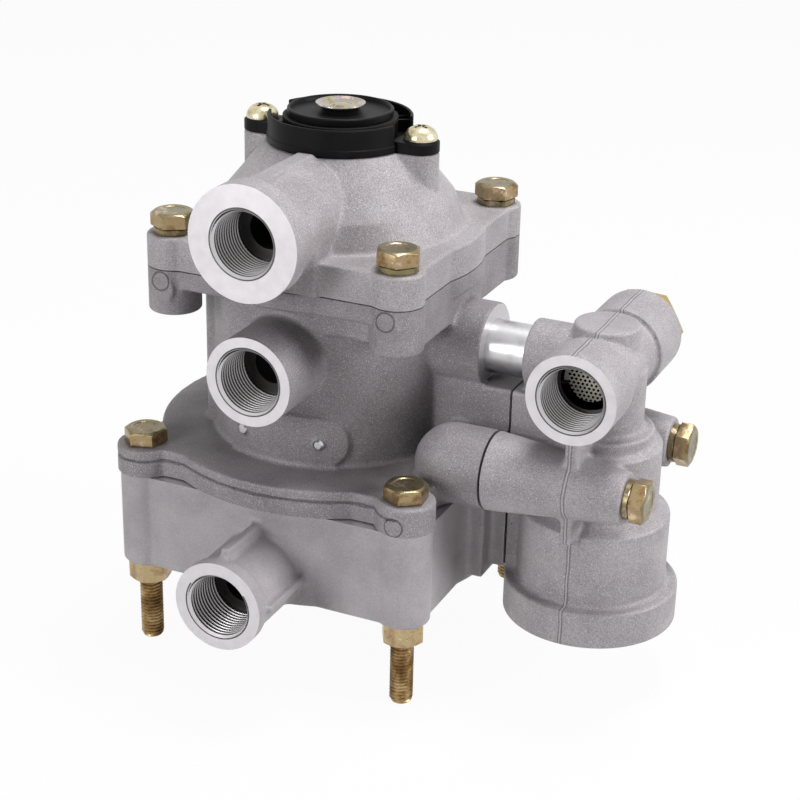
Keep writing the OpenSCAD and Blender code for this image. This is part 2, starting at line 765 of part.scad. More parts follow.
module side_bolts() {
    color(zinc) for (s = [-1, 1])
        translate([side_tube_end + washer_t, s * side_bolt_y, z_side_bolt])
            rotate([0, 90, 0]) bolt(side_bolt_len);
}

module side_washers() {
    color(zinc) for (s = [-1, 1])
        translate([side_tube_end, s * side_bolt_y, z_side_bolt]) rotate([0, 90, 0]) spring_washer();
}

module transfer_tube() {
    color(steel) translate([tube_face - tube_seat, 0, z_arm]) rotate([0, 90, 0])
        pipe(steel_r, steel_r - steel_wall, 0, elbow_x - tube_face + 2 * tube_seat);
}

module tube_seals() {
    color(rubber) translate([tube_face - tube_seal_in - 2 * seal_wire, 0, z_arm]) rotate([0, 90, 0])
        pipe(steel_r + 2 * seal_wire, steel_r, 0, 2 * seal_wire);
}

module strainer_plug() {
    color(brass) translate([barrel_x, arm_rear, z_arm]) rotate([-90, 0, 0]) difference() {
        union() {
            translate([0, 0, plug_seal_t]) hex(plug_hex_af, plug_hex_h);
            translate([0, 0, plug_in - arm_rear])
                cylinder(r = plug_r, h = arm_rear - plug_in + plug_seal_t + e);
        }
        translate([0, 0, plug_in - arm_rear - 1]) cylinder(r = strainer_r - 1, h = arm_rear - plug_in - 1);
    }
}

module plug_seal() {
    color(rubber) translate([barrel_x, arm_rear, z_arm]) rotate([-90, 0, 0])
        pipe(arm_r - 2, plug_r, 0, plug_seal_t);
}

// A perforated cup whose closed end looks out of the port
module strainer() {
    color(alloy) translate([barrel_x, strainer_y0, z_arm]) rotate([-90, 0, 0]) difference() {
        union() {
            cylinder(r = strainer_r, h = strainer_len);
            translate([0, 0, strainer_len - strainer_rim])
                cylinder(r = arm_bore_r - run, h = strainer_rim);
        }
        translate([0, 0, strainer_wall])
            cylinder(r = strainer_r - strainer_wall, h = strainer_len);
        for (i = [-3:3], j = [-3:3]) {
            x = strainer_pitch * (i + j / 2);
            y = strainer_pitch * j * sqrt(3) / 2;
            if (sqrt(x * x + y * y) < strainer_r - strainer_wall - 1.2)
                translate([x, y, -1]) cylinder(r = strainer_hole_r, h = strainer_wall + 2, $fn = 16);
        }
    }
}

module strainer_spring() {
    y0 = strainer_y0 + strainer_len;
    color(steel) translate([barrel_x, y0, z_arm]) rotate([-90, 0, 0])
        coil(arm_bore_r - strainer_wire / 2 - run - near, strainer_wire, 0, plug_in - y0, 6);
}

module check_valve() {
    color(brass) translate([barrel_x, 0, 0]) {
        translate([0, 0, check_base_z]) cylinder(r = check_r, h = check_t);
        translate([0, 0, check_stem_z0])
            cylinder(r = check_stem_r, h = check_base_z - check_stem_z0 + e);
    }
}

module check_seal() {
    color(rubber) translate([barrel_x, 0, seat_check_z - check_rubber_t])
        cylinder(r = check_r - 1, h = check_rubber_t);
}

module check_spring() {
    color(steel) translate([barrel_x, 0, 0])
        coil(check_r - 1.5, check_wire, cap_z0 + cap_t, check_base_z, 7);
}

module barrel_cap() {
    color(alloy) translate([barrel_x, 0, 0]) difference() {
        union() {
            translate([0, 0, cap_z0]) cylinder(r = cap_bore_r - run, h = cap_t);
            translate([0, 0, cap_z0]) cylinder(r = cap_guide_r, h = cap_t + cap_guide_h);
        }
        translate([0, 0, cap_z0 + cap_floor]) cylinder(r = check_stem_r + run, h = cap_t + cap_guide_h);
        translate([0, 0, cap_z0 + cap_t / 2]) rotate_extrude()
            translate([cap_bore_r - 2 * seal_wire, -seal_wire]) square([3, 2 * seal_wire]);
        translate([0, 0, cap_z0 - 1]) cylinder(r = cap_guide_r - 2, h = 2.2);
    }
}

module cap_seal() {
    color(rubber) translate([barrel_x, 0, cap_z0 + cap_t / 2])
        pipe(cap_bore_r, cap_bore_r - 2 * seal_wire, -seal_wire, seal_wire);
}

module cap_clip() {
    color(steel) translate([barrel_x, 0, cap_z0 - clip_t]) difference() {
        cylinder(r = cap_bore_r + clip_out, h = clip_t);
        translate([0, 0, -1]) cylinder(r = cap_bore_r - clip_in, h = clip_t + 2);
        translate([0, -clip_gap, -1]) cube([far, 2 * clip_gap, clip_t + 2]);
    }
}

module control_piston() {
    color(alloy) difference() {
        union() {
            translate([0, 0, piston_z0]) cylinder(r = lower_bore_r - run, h = piston_t);
            translate([0, 0, z_floor + near]) cylinder(r = hub_r, h = hub_top - z_floor - near);
            translate([0, 0, z_floor]) cylinder(r = nose_r, h = valve_z - exhaust_gap - z_floor);
        }
        translate([0, 0, z_floor - 1]) cylinder(r = hub_r - hub_wall, h = hub_pocket + 1);
        translate([0, 0, piston_z0 - nose_bore_under]) cylinder(r = nose_bore_r, h = valve_z);
        translate([0, 0, piston_z0 + piston_t / 2]) rotate_extrude()
            translate([lower_bore_r - 2 * seal_wire, -seal_wire]) square([3, 2 * seal_wire]);
    }
}

module control_ring() {
    color(rubber) translate([0, 0, piston_z0 + piston_t / 2])
        pipe(lower_bore_r - run, lower_bore_r - 2 * seal_wire, -seal_wire, seal_wire);
}

module control_spring() {
    color(steel) coil(spring_r, spring_wire, piston_z0 + piston_t, deck_z0, spring_turns);
}

module emergency_piston() {
    color(alloy) difference() {
        union() {
            translate([0, 0, emerg_z0]) cylinder(r = mid_bore_r - run, h = land_t);
            translate([0, 0, emerg_z1 - land_t]) cylinder(r = mid_bore_r - run, h = land_t);
            translate([0, 0, emerg_z0]) cylinder(r = emerg_waist_r, h = emerg_h);
        }
        translate([0, 0, emerg_z0 - 1]) cylinder(r = emerg_bore_r, h = seat_z - emerg_z0 + 1);
        translate([0, 0, emerg_z0]) cylinder(r = seat_r, h = emerg_h);
        translate([0, 0, seat_z + seat_t]) cylinder(r = emerg_bore_r, h = emerg_h);
        for (z = [emerg_z0 + land_t / 2, emerg_z1 - land_t / 2])
            translate([0, 0, z]) rotate_extrude()
                translate([mid_bore_r - 2 * seal_wire, -seal_wire]) square([3, 2 * seal_wire]);
        for (a = [0:90:270]) rotate([0, 0, a + 45]) along_x(emerg_bore_r - 2, emerg_waist_r + 1, 0,
            seat_z + seat_t + cross_hole_up, cross_hole_r);
    }
}

module emergency_rings() {
    color(rubber) for (z = [emerg_z0 + land_t / 2, emerg_z1 - land_t / 2])
        translate([0, 0, z])
            pipe(mid_bore_r - run, mid_bore_r - 2 * seal_wire, -seal_wire, seal_wire);
}

module emergency_spring() {
    color(steel) coil(emerg_spring_r, emerg_wire, z_flange, emerg_z0, 3);
}

module inlet_valve() {
    color(brass) difference() {
        union() {
            translate([0, 0, valve_z + valve_rubber_t]) cylinder(r = valve_r, h = valve_t);
            translate([0, 0, valve_z + valve_rubber_t]) cylinder(r = stem_r, h = stem_top - valve_z);
        }
        translate([0, 0, valve_z]) cylinder(r = stem_bore_r, h = stem_top);
    }
}

module inlet_rubber() {
    color(rubber) translate([0, 0, valve_z]) pipe(valve_r, stem_bore_r, 0, valve_rubber_t);
}

module inlet_spring() {
    color(steel)
        coil(stem_r + inlet_spring_out, inlet_wire, valve_z + valve_rubber_t + valve_t, guide_z0, 5);
}

module valve_guide() {
    color(brass) difference() {
        union() {
            translate([0, 0, guide_z0]) cylinder(r = guide_r, h = guide_z1 - guide_z0);
            translate([0, 0, guide_z1 - guide_flange_t])
                cylinder(r = guide_flange_r, h = guide_flange_t);
        }
        translate([0, 0, guide_z0 - 1]) cylinder(r = stem_r + run, h = guide_z1);
        translate([0, 0, guide_z1]) rotate_extrude() translate([guide_r - seal_wire, -seal_wire])
            square([2 * seal_wire, seal_wire + 1]);
    }
}

module guide_seal() {
    color(rubber) translate([0, 0, guide_z1])
        pipe(guide_r + seal_wire, guide_r - seal_wire, -seal_wire, 0);
}

module vent_base() {
    color(plastic) translate([0, 0, z_dome]) difference() {
        union() {
            cylinder(r = skirt_r, h = vent_plate_t);
            pipe(skirt_r, skirt_r - vent_wall, 0, skirt_h);
            pipe(flap_r, flap_r - vent_wall, 0, flap_z - z_dome);
            for (s = [-1, 1]) {
                translate([s * vent_half, 0, 0]) cylinder(r = ear_r, h = vent_ear_t);
                translate([s * (skirt_r + vent_half) / 2 - 5, -ear_r, 0])
                    cube([10, 2 * ear_r, vent_ear_t]);
            }
            cylinder(r = rivet_r - 2, h = flap_z - z_dome);
        }
        translate([0, 0, -1]) cylinder(r = rivet_pin_r, h = cup_h);
        // Gaps in the skirt over the two ears
        for (s = [-1, 1])
            translate([s * skirt_r - ear_gap, -ear_r - 1, vent_ear_t])
                cube([2 * ear_gap, 2 * ear_r + 2, skirt_h]);
        for (s = [-1, 1]) translate([s * vent_half, 0, -1]) cylinder(r = screw_r + 0.3, h = 10);
        // Kidney holes under the flap, as round drillings on a circle
        for (a = [0:45:315]) rotate([0, 0, a + 22.5]) translate([kidney_out, 0, -1])
            cylinder(r = kidney_r, h = vent_plate_t + 2);
    }
}

module vent_flap() {
    color(rubber) translate([0, 0, flap_z]) pipe(flap_r, rivet_pin_r, 0, flap_t);
}

module vent_cup() {
    color(plastic) translate([0, 0, z_dome + cup_h - cup_base_t]) difference() {
        cylinder(r = cup_r, h = cup_base_t);
        translate([0, 0, cup_base_t - cup_trough])
            pipe(cup_r - cup_lip, rivet_r - 1, 0, cup_trough + 1);
        translate([0, 0, -1]) cylinder(r = rivet_pin_r, h = 5);
    }
}

module vent_rivet() {
    color(zinc) translate([0, 0, z_dome + cup_h]) difference() {
        union() {
            cylinder(r1 = rivet_r, r2 = rivet_r - 0.5, h = rivet_edge);
            translate([0, 0, rivet_edge]) cylinder(r1 = rivet_r - 0.5, r2 = rivet_r - 3, h = rivet_edge);
            translate([0, 0, -cup_h - e]) cylinder(r = rivet_pin_r, h = cup_h + 2 * e);
            translate([0, 0, -cup_h - rivet_edge]) cylinder(r = rivet_r / 2, h = rivet_edge);
        }
        translate([0, 0, rivet_edge]) cylinder(r1 = rivet_pin_r, r2 = rivet_pin_r + 1.2, h = 2);
    }
}

module vent_screws() {
    color(zinc) for (s = [-1, 1]) translate([s * vent_half, 0, z_dome + vent_ear_t]) {
        translate([0, 0, -vent_ear_t - screw_shank]) cylinder(r = screw_r, h = vent_ear_t + screw_shank + e);
        intersection() {
            translate([0, 0, screw_dome_h - screw_dome_r]) sphere(r = screw_dome_r);
            cylinder(r = screw_head_r, h = screw_dome_h + 1);
        }
    }
}

lower_housing();
middle_housing();
top_cover();
joint_seal_lower();
joint_seal_upper();
housing_bolts();
housing_nuts();
cover_bolts();
cover_washers();
side_barrel();
side_gasket();
lower_pad_seal();
side_bolts();
side_washers();
transfer_tube();
tube_seals();
strainer_plug();
plug_seal();
strainer();
strainer_spring();
check_valve();
check_seal();
check_spring();
barrel_cap();
cap_seal();
cap_clip();
control_piston();
control_ring();
control_spring();
emergency_piston();
emergency_rings();
emergency_spring();
inlet_valve();
inlet_rubber();
inlet_spring();
valve_guide();
guide_seal();
vent_base();
vent_cup();
vent_flap();
vent_rivet();
vent_screws();
plate_pins();
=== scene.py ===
# %% [markdown]
# # Dressing a trailer brake valve
#
# The valve is a stack of three shot-blasted castings with a barrel bolted to its side. Its solids come
# packed as a fixed frame, in metres, with every bore and bolt where it belongs. This lesson keeps those
# places and gives each piece the surface that the foundry, the lathe and the plating bath would leave.

# %% Load the frame
import json
import math

import bmesh
import bpy
import numpy as np
import openvdb
from mathutils import Matrix, Vector


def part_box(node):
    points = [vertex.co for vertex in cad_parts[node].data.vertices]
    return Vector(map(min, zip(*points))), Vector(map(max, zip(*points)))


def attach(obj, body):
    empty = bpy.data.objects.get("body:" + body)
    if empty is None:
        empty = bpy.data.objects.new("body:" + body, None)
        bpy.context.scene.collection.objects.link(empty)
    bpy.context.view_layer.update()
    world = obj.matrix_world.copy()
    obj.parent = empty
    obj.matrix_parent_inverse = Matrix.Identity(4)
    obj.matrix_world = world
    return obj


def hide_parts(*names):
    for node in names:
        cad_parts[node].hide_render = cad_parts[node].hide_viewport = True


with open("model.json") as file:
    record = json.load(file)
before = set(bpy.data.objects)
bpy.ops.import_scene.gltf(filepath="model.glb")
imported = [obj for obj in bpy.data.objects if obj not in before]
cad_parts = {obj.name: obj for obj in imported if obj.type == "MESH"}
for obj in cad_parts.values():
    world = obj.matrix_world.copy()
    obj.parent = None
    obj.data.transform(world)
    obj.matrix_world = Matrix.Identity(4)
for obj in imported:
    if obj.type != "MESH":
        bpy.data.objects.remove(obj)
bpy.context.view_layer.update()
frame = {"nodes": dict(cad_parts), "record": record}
MM = 0.001

# %% [markdown]
# ## The camera
#
# The photograph was taken with a long lens from the front right and a little above, with the camera tipped
# about one degree. Its place was solved from the bolts and the port circles. Three angles and a point say
# it in a way that can be read: how far round, how far up, and how much the camera leans.

# %% Place the camera
AROUND = math.radians(24.249)
ABOVE = math.radians(23.213)
LEAN = math.radians(1.318)
LENS = 83.05
SENSOR = 36
EYE = Vector((264.41, -534.04, 337.06)) * MM


def camera_axes(around, above, lean):
    back = Vector((math.sin(around) * math.cos(above), -math.cos(around) * math.cos(above), math.sin(above)))
    level = Vector((math.cos(around), math.sin(around), 0))
    upright = back.cross(level)
    right = math.cos(lean) * level + math.sin(lean) * upright
    return right, back.cross(right), back


camera = bpy.data.objects.new("camera", bpy.data.cameras.new("camera"))
bpy.context.scene.collection.objects.link(camera)
camera.data.lens = LENS
camera.data.sensor_width = SENSOR
aim = Matrix(camera_axes(AROUND, ABOVE, LEAN)).transposed().to_4x4()
camera.matrix_world = Matrix.Translation(EYE) @ aim
bpy.context.scene.camera = camera
print("camera at", [round(c, 3) for c in EYE], "with a", LENS, "mm lens")

# %% [markdown]
# ## Places
#
# Nothing is typed that the frame already knows. The mounts give the four tapped ports, and the boxes of the
# seals, nuts and washers give the heights of the machined joints.

# %% Read the places from the frame
mounts = {mount["name"]: mount for mount in frame["record"]["mounts"]}
PORTS = ["lower_port", "waist_port", "cover_port", "barrel_port"]
PORT_CHAMFER = 1 * MM


def low(node):
    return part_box(node)[0]


def high(node):
    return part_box(node)[1]


def middle(node):
    return (low(node) + high(node)) / 2


def points_of(obj):
    flat = np.empty(len(obj.data.vertices) * 3)
    obj.data.vertices.foreach_get("co", flat)
    return flat.reshape(-1, 3)


class Port:
    """A tapped hole that faces -Y: its axis, its machined face and its radii."""

    def __init__(self, name, node):
        mount = mounts[name]
        self.x, mid_y, self.z = mount["pos_m"]
        self.radius = mount["dims"]["r_mm"] * MM
        self.depth = mount["dims"]["length_mm"] * MM + PORT_CHAMFER
        self.face = mid_y - mount["dims"]["length_mm"] * MM / 2 - PORT_CHAMFER
        points = points_of(frame["nodes"][node])
        near = points[np.abs(points[:, 1] - self.face) < 0.01 * MM]
        self.boss = float(np.hypot(near[:, 0] - self.x, near[:, 2] - self.z).max())


ports = {name: Port(name, node) for name, node in zip(
    PORTS, ["lower_housing", "middle_housing", "top_cover", "side_barrel"])}
FOOT_Z = high("housing_nuts").z
JOINT_Z = high("joint_seal_lower").z
COVER_Z = high("joint_seal_upper").z
FLANGE_TOP_Z = low("cover_washers").z
DOME_Z = low("vent_base").z
BARREL = middle("barrel_cap")
for name, port in ports.items():
    print(name, "boss radius", round(port.boss / MM, 1), "face at y", round(port.face / MM, 1))

# %% [markdown]
# ## Simple solids
#
# Fillers, stock and cutters are plain closed solids. A lathe that turns a profile of (radius, height) pairs
# makes all the round ones, and a box makes the rest. Each is a pair of lists, vertices and faces, so that
# several can be joined before Blender ever sees them.

# %% Turn, box and place
ROUND = 96
TURN = 2 * math.pi
LAY = {"Z": Matrix.Identity(3), "X": Matrix.Rotation(math.pi / 2, 3, "Y"),
       "Y": Matrix.Rotation(-math.pi / 2, 3, "X"), "-Y": Matrix.Rotation(math.pi / 2, 3, "X")}


def turned(profile, segments=ROUND):
    """A closed solid of revolution about Z. The profile starts and ends on the axis."""
    verts = []
    rings = []
    for radius, height in profile:
        if radius <= 0:
            rings.append([len(verts)])
            verts.append((0, 0, height))
            continue
        rings.append(list(range(len(verts), len(verts) + segments)))
        for k in range(segments):
            turn = TURN * k / segments
            verts.append((radius * math.cos(turn), radius * math.sin(turn), height))
    faces = []
    for lower, upper in zip(rings, rings[1:]):
        for k in range(segments):
            n = (k + 1) % segments
            a, b = lower[k % len(lower)], lower[n % len(lower)]
            c, d = upper[n % len(upper)], upper[k % len(upper)]
            faces.append([v for i, v in enumerate((a, b, c, d)) if v not in (a, b, c, d)[:i]])
    return np.array(verts, float), faces


def rod(radius, start, end, segments=ROUND):
    return turned([(0, start), (radius, start), (radius, end), (0, end)], segments)


def block(corner, other):
    (x0, y0, z0), (x1, y1, z1) = corner, other
    verts = [(x, y, z) for z in (z0, z1) for y in (y0, y1) for x in (x0, x1)]
    faces = [[0, 2, 3, 1], [4, 5, 7, 6], [0, 1, 5, 4], [2, 6, 7, 3], [0, 4, 6, 2], [1, 3, 7, 5]]
    return np.array(verts, float), faces


def placed(solid, where=(0, 0, 0), axis="Z"):
    """The solid with its Z axis laid along axis and its origin moved to where."""
    verts, faces = solid
    return verts @ np.array(LAY[axis]).T + np.array(where), faces


def spun(solid, angle):
    """The solid turned about Z."""
    return solid[0] @ np.array(Matrix.Rotation(angle, 3, "Z")).T, solid[1]


def joined(solids):
    verts, faces, start = [], [], 0
    for part_verts, part_faces in solids:
        verts.append(part_verts)
        faces += [[v + start for v in face] for face in part_faces]
        start += len(part_verts)
    return np.concatenate(verts), faces


def as_solid(mesh):
    """The vertices and faces of a bmesh, which is then let go."""
    mesh.verts.index_update()
    solid = np.array([v.co[:] for v in mesh.verts]), [[v.index for v in f.verts] for f in mesh.faces]
    mesh.free()
    return solid


def piece(name, solid, material):
    """A new object from vertices and faces."""
    mesh = bpy.data.meshes.new(name)
    mesh.from_pydata([tuple(v) for v in solid[0]], [], solid[1])
    mesh.materials.append(material)
    obj = bpy.data.objects.new(name, mesh)
    bpy.context.scene.collection.objects.link(obj)
    return obj


print("a turned test rod has", len(rod(1, 0, 1)[1]), "faces")

# %% [markdown]
# ## From machined solid to casting
#
# A casting has no sharp edge that wasn't machined: the pattern's inner corners are filled with radii and its
# outer edges are rounded. Bevels on so many crossing cylinders would fail, so the whole skin is taken as a
# distance field instead. Growing the field and shrinking it back fills the inner corners, as a ball rolled
# round the outside would, and shrinking it and growing it back rounds the outer edges.

# %% Round a skin with a distance field
VOXEL = 0.45 * MM
SPARE_CELLS = 2
SKIN_SHARE = 0.3


def fan(faces):
    return [(face[0], face[k], face[k + 1]) for face in faces for k in range(1, len(face) - 1)]


def shifted_skin(points, faces, shift, cell):
    """The skin moved outwards by shift, or inwards where shift is negative."""
    kind = "triangles" if faces.shape[1] == 3 else "quads"
    grid = openvdb.FloatGrid.createLevelSetFromPolygons(
        np.ascontiguousarray(points / cell, np.float32),
        halfWidth=abs(shift) / cell + SPARE_CELLS,
        **{kind: np.ascontiguousarray(faces, np.uint32)})
    moved, _, quads = grid.convertToPolygons(isovalue=shift / cell, adaptivity=0)
    return moved * cell, quads


def cast_skin(name, solids, fillet, edge, keep, material, cell=VOXEL):
    """A rounded casting from closed solids that may overlap, thinned to a share of its faces."""
    points, faces = joined(solids)
    points, quads = shifted_skin(points, np.array(fan(faces)), fillet, cell)
    points, quads = shifted_skin(points, quads, -fillet - edge, cell)
    points, quads = shifted_skin(points, quads, edge, cell)
    obj = piece(name, (points, quads[:, ::-1].tolist()), material)
    thin = obj.modifiers.new("thin", "DECIMATE")
    thin.ratio = keep
    return applied(obj)


def applied(obj):
    """The object with its modifiers made real."""
    result = bpy.data.meshes.new_from_object(obj.evaluated_get(bpy.context.evaluated_depsgraph_get()))
    old = obj.data
    obj.modifiers.clear()
    obj.data = result
    bpy.data.meshes.remove(old)
    return obj


print("field cell", VOXEL / MM, "mm")

# %% [markdown]
# ## Machining
#
# After casting, a boolean takes away what a cutter sweeps, and the cut faces carry the cutter's material, so
# bare machined metal shows only where a tool has been. Edges beside a machined face are marked sharp, and
# the cast skin stays smooth.

# %% Cut and join with booleans
SHARP = math.radians(30)
LEVEL = 0.9999


def boolean(obj, other, operation):
    tool = obj.modifiers.new("tool", "BOOLEAN")
    tool.solver = "MANIFOLD"
    tool.operation = operation
    tool.object = other
    tool.material_mode = "TRANSFER"
    applied(obj)
    bpy.data.objects.remove(other)
    return obj


def machined(obj, solid, material):
    return boolean(obj, piece("cutter", solid, material), "DIFFERENCE")


def welded(obj, solid, material):
    return boolean(obj, piece("addition", solid, material), "UNION")


def shaded(obj, cast=None, sharp=SHARP):
    """Smooth faces with sharp edges between them, but never inside the cast skin. Milled faces stay flat."""
    mesh = bmesh.new()
    mesh.from_mesh(obj.data)
    slots = [m.name for m in obj.data.materials]
    skin = slots.index(cast.name) if cast else None
    for face in mesh.faces:
        level = max(abs(c) for c in face.normal) > LEVEL
        face.smooth = face.material_index == skin or not level
    for edge in mesh.edges:
        ends = edge.link_faces
        inside = len(ends) == 2 and skin is not None and all(f.material_index == skin for f in ends)
        edge.smooth = inside or len(ends) != 2 or edge.calc_face_angle(0) < sharp
    mesh.to_mesh(obj.data)
    mesh.free()
    return obj


print("edges stay sharp from", round(math.degrees(SHARP)), "degrees")

# %% [markdown]
# ## Threads
#
# A thread is a ridge that climbs one pitch for each turn. The rows of a plain rod are tilted so that they
# climb with it, and each row's radius follows the thread's profile, so four rows draw one pitch exactly.
# Where the rows pass the rod's ends they are squeezed flat, and the doubled points are merged. The same rod
# is a bolt's thread, or the tap that cuts one.

# %% Make a threaded rod
PROFILE = [(0, 0), (0.125, 0), (0.5, 1), (0.625, 1)]
THREAD_SIDES = 48
SAME_POINT = 0.002 * MM


def threaded(root, crest, pitch, start, end, lead):
    """A closed threaded rod about Z. Lead is the length over which the ends taper from crest to root."""
    pitches = int((end - start) / pitch) + 3
    rows = [(start + (turn - 1 + share) * pitch, root + (crest - root) * height)
            for turn in range(pitches) for share, height in PROFILE]
    verts = []
    for k in range(THREAD_SIDES + 1):
        angle = TURN * k / THREAD_SIDES
        for row_z, radius in rows:
            z = min(end, max(start, row_z + pitch * k / THREAD_SIDES))
            room = root + (crest - root) * min(1, (z - start) / lead, (end - z) / lead)
            radius = min(radius, room)
            verts.append((radius * math.cos(angle), radius * math.sin(angle), z))
    count = len(rows)
    faces = [[k * count + j, (k + 1) * count + j, (k + 1) * count + j + 1, k * count + j + 1]
             for k in range(THREAD_SIDES) for j in range(count - 1)]
    mesh = bmesh.new()
    made = [mesh.verts.new(v) for v in verts]
    for face in faces:
        mesh.faces.new([made[v] for v in face])
    bmesh.ops.remove_doubles(mesh, verts=mesh.verts, dist=SAME_POINT)
    bmesh.ops.dissolve_degenerate(mesh, dist=SAME_POINT, edges=mesh.edges)
    bmesh.ops.holes_fill(mesh, edges=[e for e in mesh.edges if e.is_boundary])
    bmesh.ops.recalc_face_normals(mesh, faces=mesh.faces)
    open_edges = sum(not e.is_manifold for e in mesh.edges)
    return as_solid(mesh), open_edges


PORT_MINOR = ports["waist_port"].radius
PORT_PITCH = 1.5 * MM
THREAD_DEPTH = 0.8 * MM
TAP_START = -3 * MM
TAP_END = 16 * MM
TAP, tap_gaps = threaded(PORT_MINOR, PORT_MINOR + THREAD_DEPTH, PORT_PITCH, TAP_START, TAP_END, 0.8 * MM)
print("tap:", len(TAP[1]), "faces,", tap_gaps, "open edges")

# %% [markdown]
# ## Shader maths
#
# A finish is a sum: a base tone, plus a cloud of stain, minus the wear on top. Written as sums in Python it
# can be read, so one small class wraps a socket and turns each operator into a Math node. Everything else
# comes from one method, which sets a node's options first and then its sockets.

# %% Wrap a socket and a material
class Value:
    """A number, colour or vector that varies over a surface."""

    def __init__(self, look, socket):
        self.look = look
        self.socket = socket

    def math(self, operation, *inputs):
        return self.look.node("Math", {"operation": operation}, dict(enumerate(inputs)))

    def __add__(self, other):
        return self.math("ADD", self, other)

    def __sub__(self, other):
        return self.math("SUBTRACT", self, other)

    def __rsub__(self, other):
        return self.math("SUBTRACT", other, self)

    def __mul__(self, other):
        return self.math("MULTIPLY", self, other)

    def __truediv__(self, other):
        return self.math("DIVIDE", self, other)

    def __pow__(self, other):
        return self.math("POWER", self, other)

    __radd__ = __add__
    __rmul__ = __mul__

    def between(self, low, high, start=0, end=1):
        """Start below low, end above high, and a soft step from one to the other."""
        return self.look.node("MapRange", {"interpolation_type": "SMOOTHSTEP"},
                              {0: self, 1: low, 2: high, 3: start, 4: end})


class Look:
    """The nodes of a material or world, with short names for those that are used most."""

    def __init__(self, owner):
        self.owner = owner
        owner.use_nodes = True
        self.tree = owner.node_tree
        self.tree.nodes.clear()

    def node(self, kind, settings=None, sockets=None, out=0):
        made = self.tree.nodes.new("ShaderNode" + kind)
        for key, setting in (settings or {}).items():
            if key != "stops":
                setattr(made, key, setting)
                continue
            for stop, (where, color) in enumerate(setting):
                point = made.color_ramp.elements[stop] if stop < 2 else made.color_ramp.elements.new(where)
                point.position = where
                point.color = color
        for key, value in (sockets or {}).items():
            if isinstance(value, Value):
                self.tree.links.new(value.socket, made.inputs[key])
            else:
                made.inputs[key].default_value = value
        return Value(self, made.outputs[out]) if made.outputs else made

    def place(self):
        return self.node("TexCoord", out=3)

    def axes(self):
        point = self.place()
        return [self.node("SeparateXYZ", None, {0: point}, out) for out in range(3)]

    def noise(self, size, detail=2.0, rough=0.5):
        """Soft noise with features about as large as size, in metres."""
        return self.node("TexNoise", None, {
            "Vector": self.place(), "Scale": 1 / size, "Detail": detail, "Roughness": rough})

    def cells(self, size, settings=None):
        return self.node("TexVoronoi", settings, {"Vector": self.place(), "Scale": 1 / size})

    def mix(self, share, first, second):
        return self.node("Mix", {"data_type": "RGBA"}, {0: share, 6: first, 7: second}, out=2)

    def ramp(self, value, *stops):
        return self.node("ValToRGB", {"stops": stops}, {0: value})

    def bump(self, height, depth):
        return self.node("Bump", None, {"Height": height, "Distance": depth})

    def finish(self, sockets):
        shader = self.node("BsdfPrincipled", None, sockets)
        self.node("OutputMaterial", None, {"Surface": shader})
        return self.owner


def tint(red, green, blue):
    """A colour as the photograph shows it, 0 to 255, turned into the linear light that shaders mix."""
    linear = [c / 255 / 12.92 if c <= 10 else ((c / 255 + 0.055) / 1.055) ** 2.4 for c in (red, green, blue)]
    return (*linear, 1)


print("mid grey is", round(tint(128, 128, 128)[0], 3), "of white")

# %% [markdown]
# ## Finishes of the castings
#
# Shot blasting leaves aluminium with a fine even grain of overlapping dents, a warm grey with a trace of
# violet, and here and there a dark pore. The grain is two octaves of noise in a bump, because dents that
# small never show as shapes, and fine pale specks in its colour are painted glints. The middle casting is
# given a darker grey than its neighbours as painted shade, and three round marks of the mould's ejector
# pins are left on its front edges. Faces that were turned after casting are brighter and carry rings about
# the port's axis, so their pattern is a wave of the distance to that axis. A thread is the same bare metal
# with painted shade in its roots, and the bored walls behind the ports are painted nearly black as shade.

# %% Cast, turned, bored and tapped metal
def ring_distance(look, centres):
    """Distance to the nearest of some axes along Y, each given as (x, z)."""
    x, _, z = look.axes()
    nearest = None
    for cx, cz in centres:
        reach = ((x - cx) ** 2 + (z - cz) ** 2) ** 0.5
        nearest = reach if nearest is None else nearest.math("MINIMUM", nearest, reach)
    return nearest


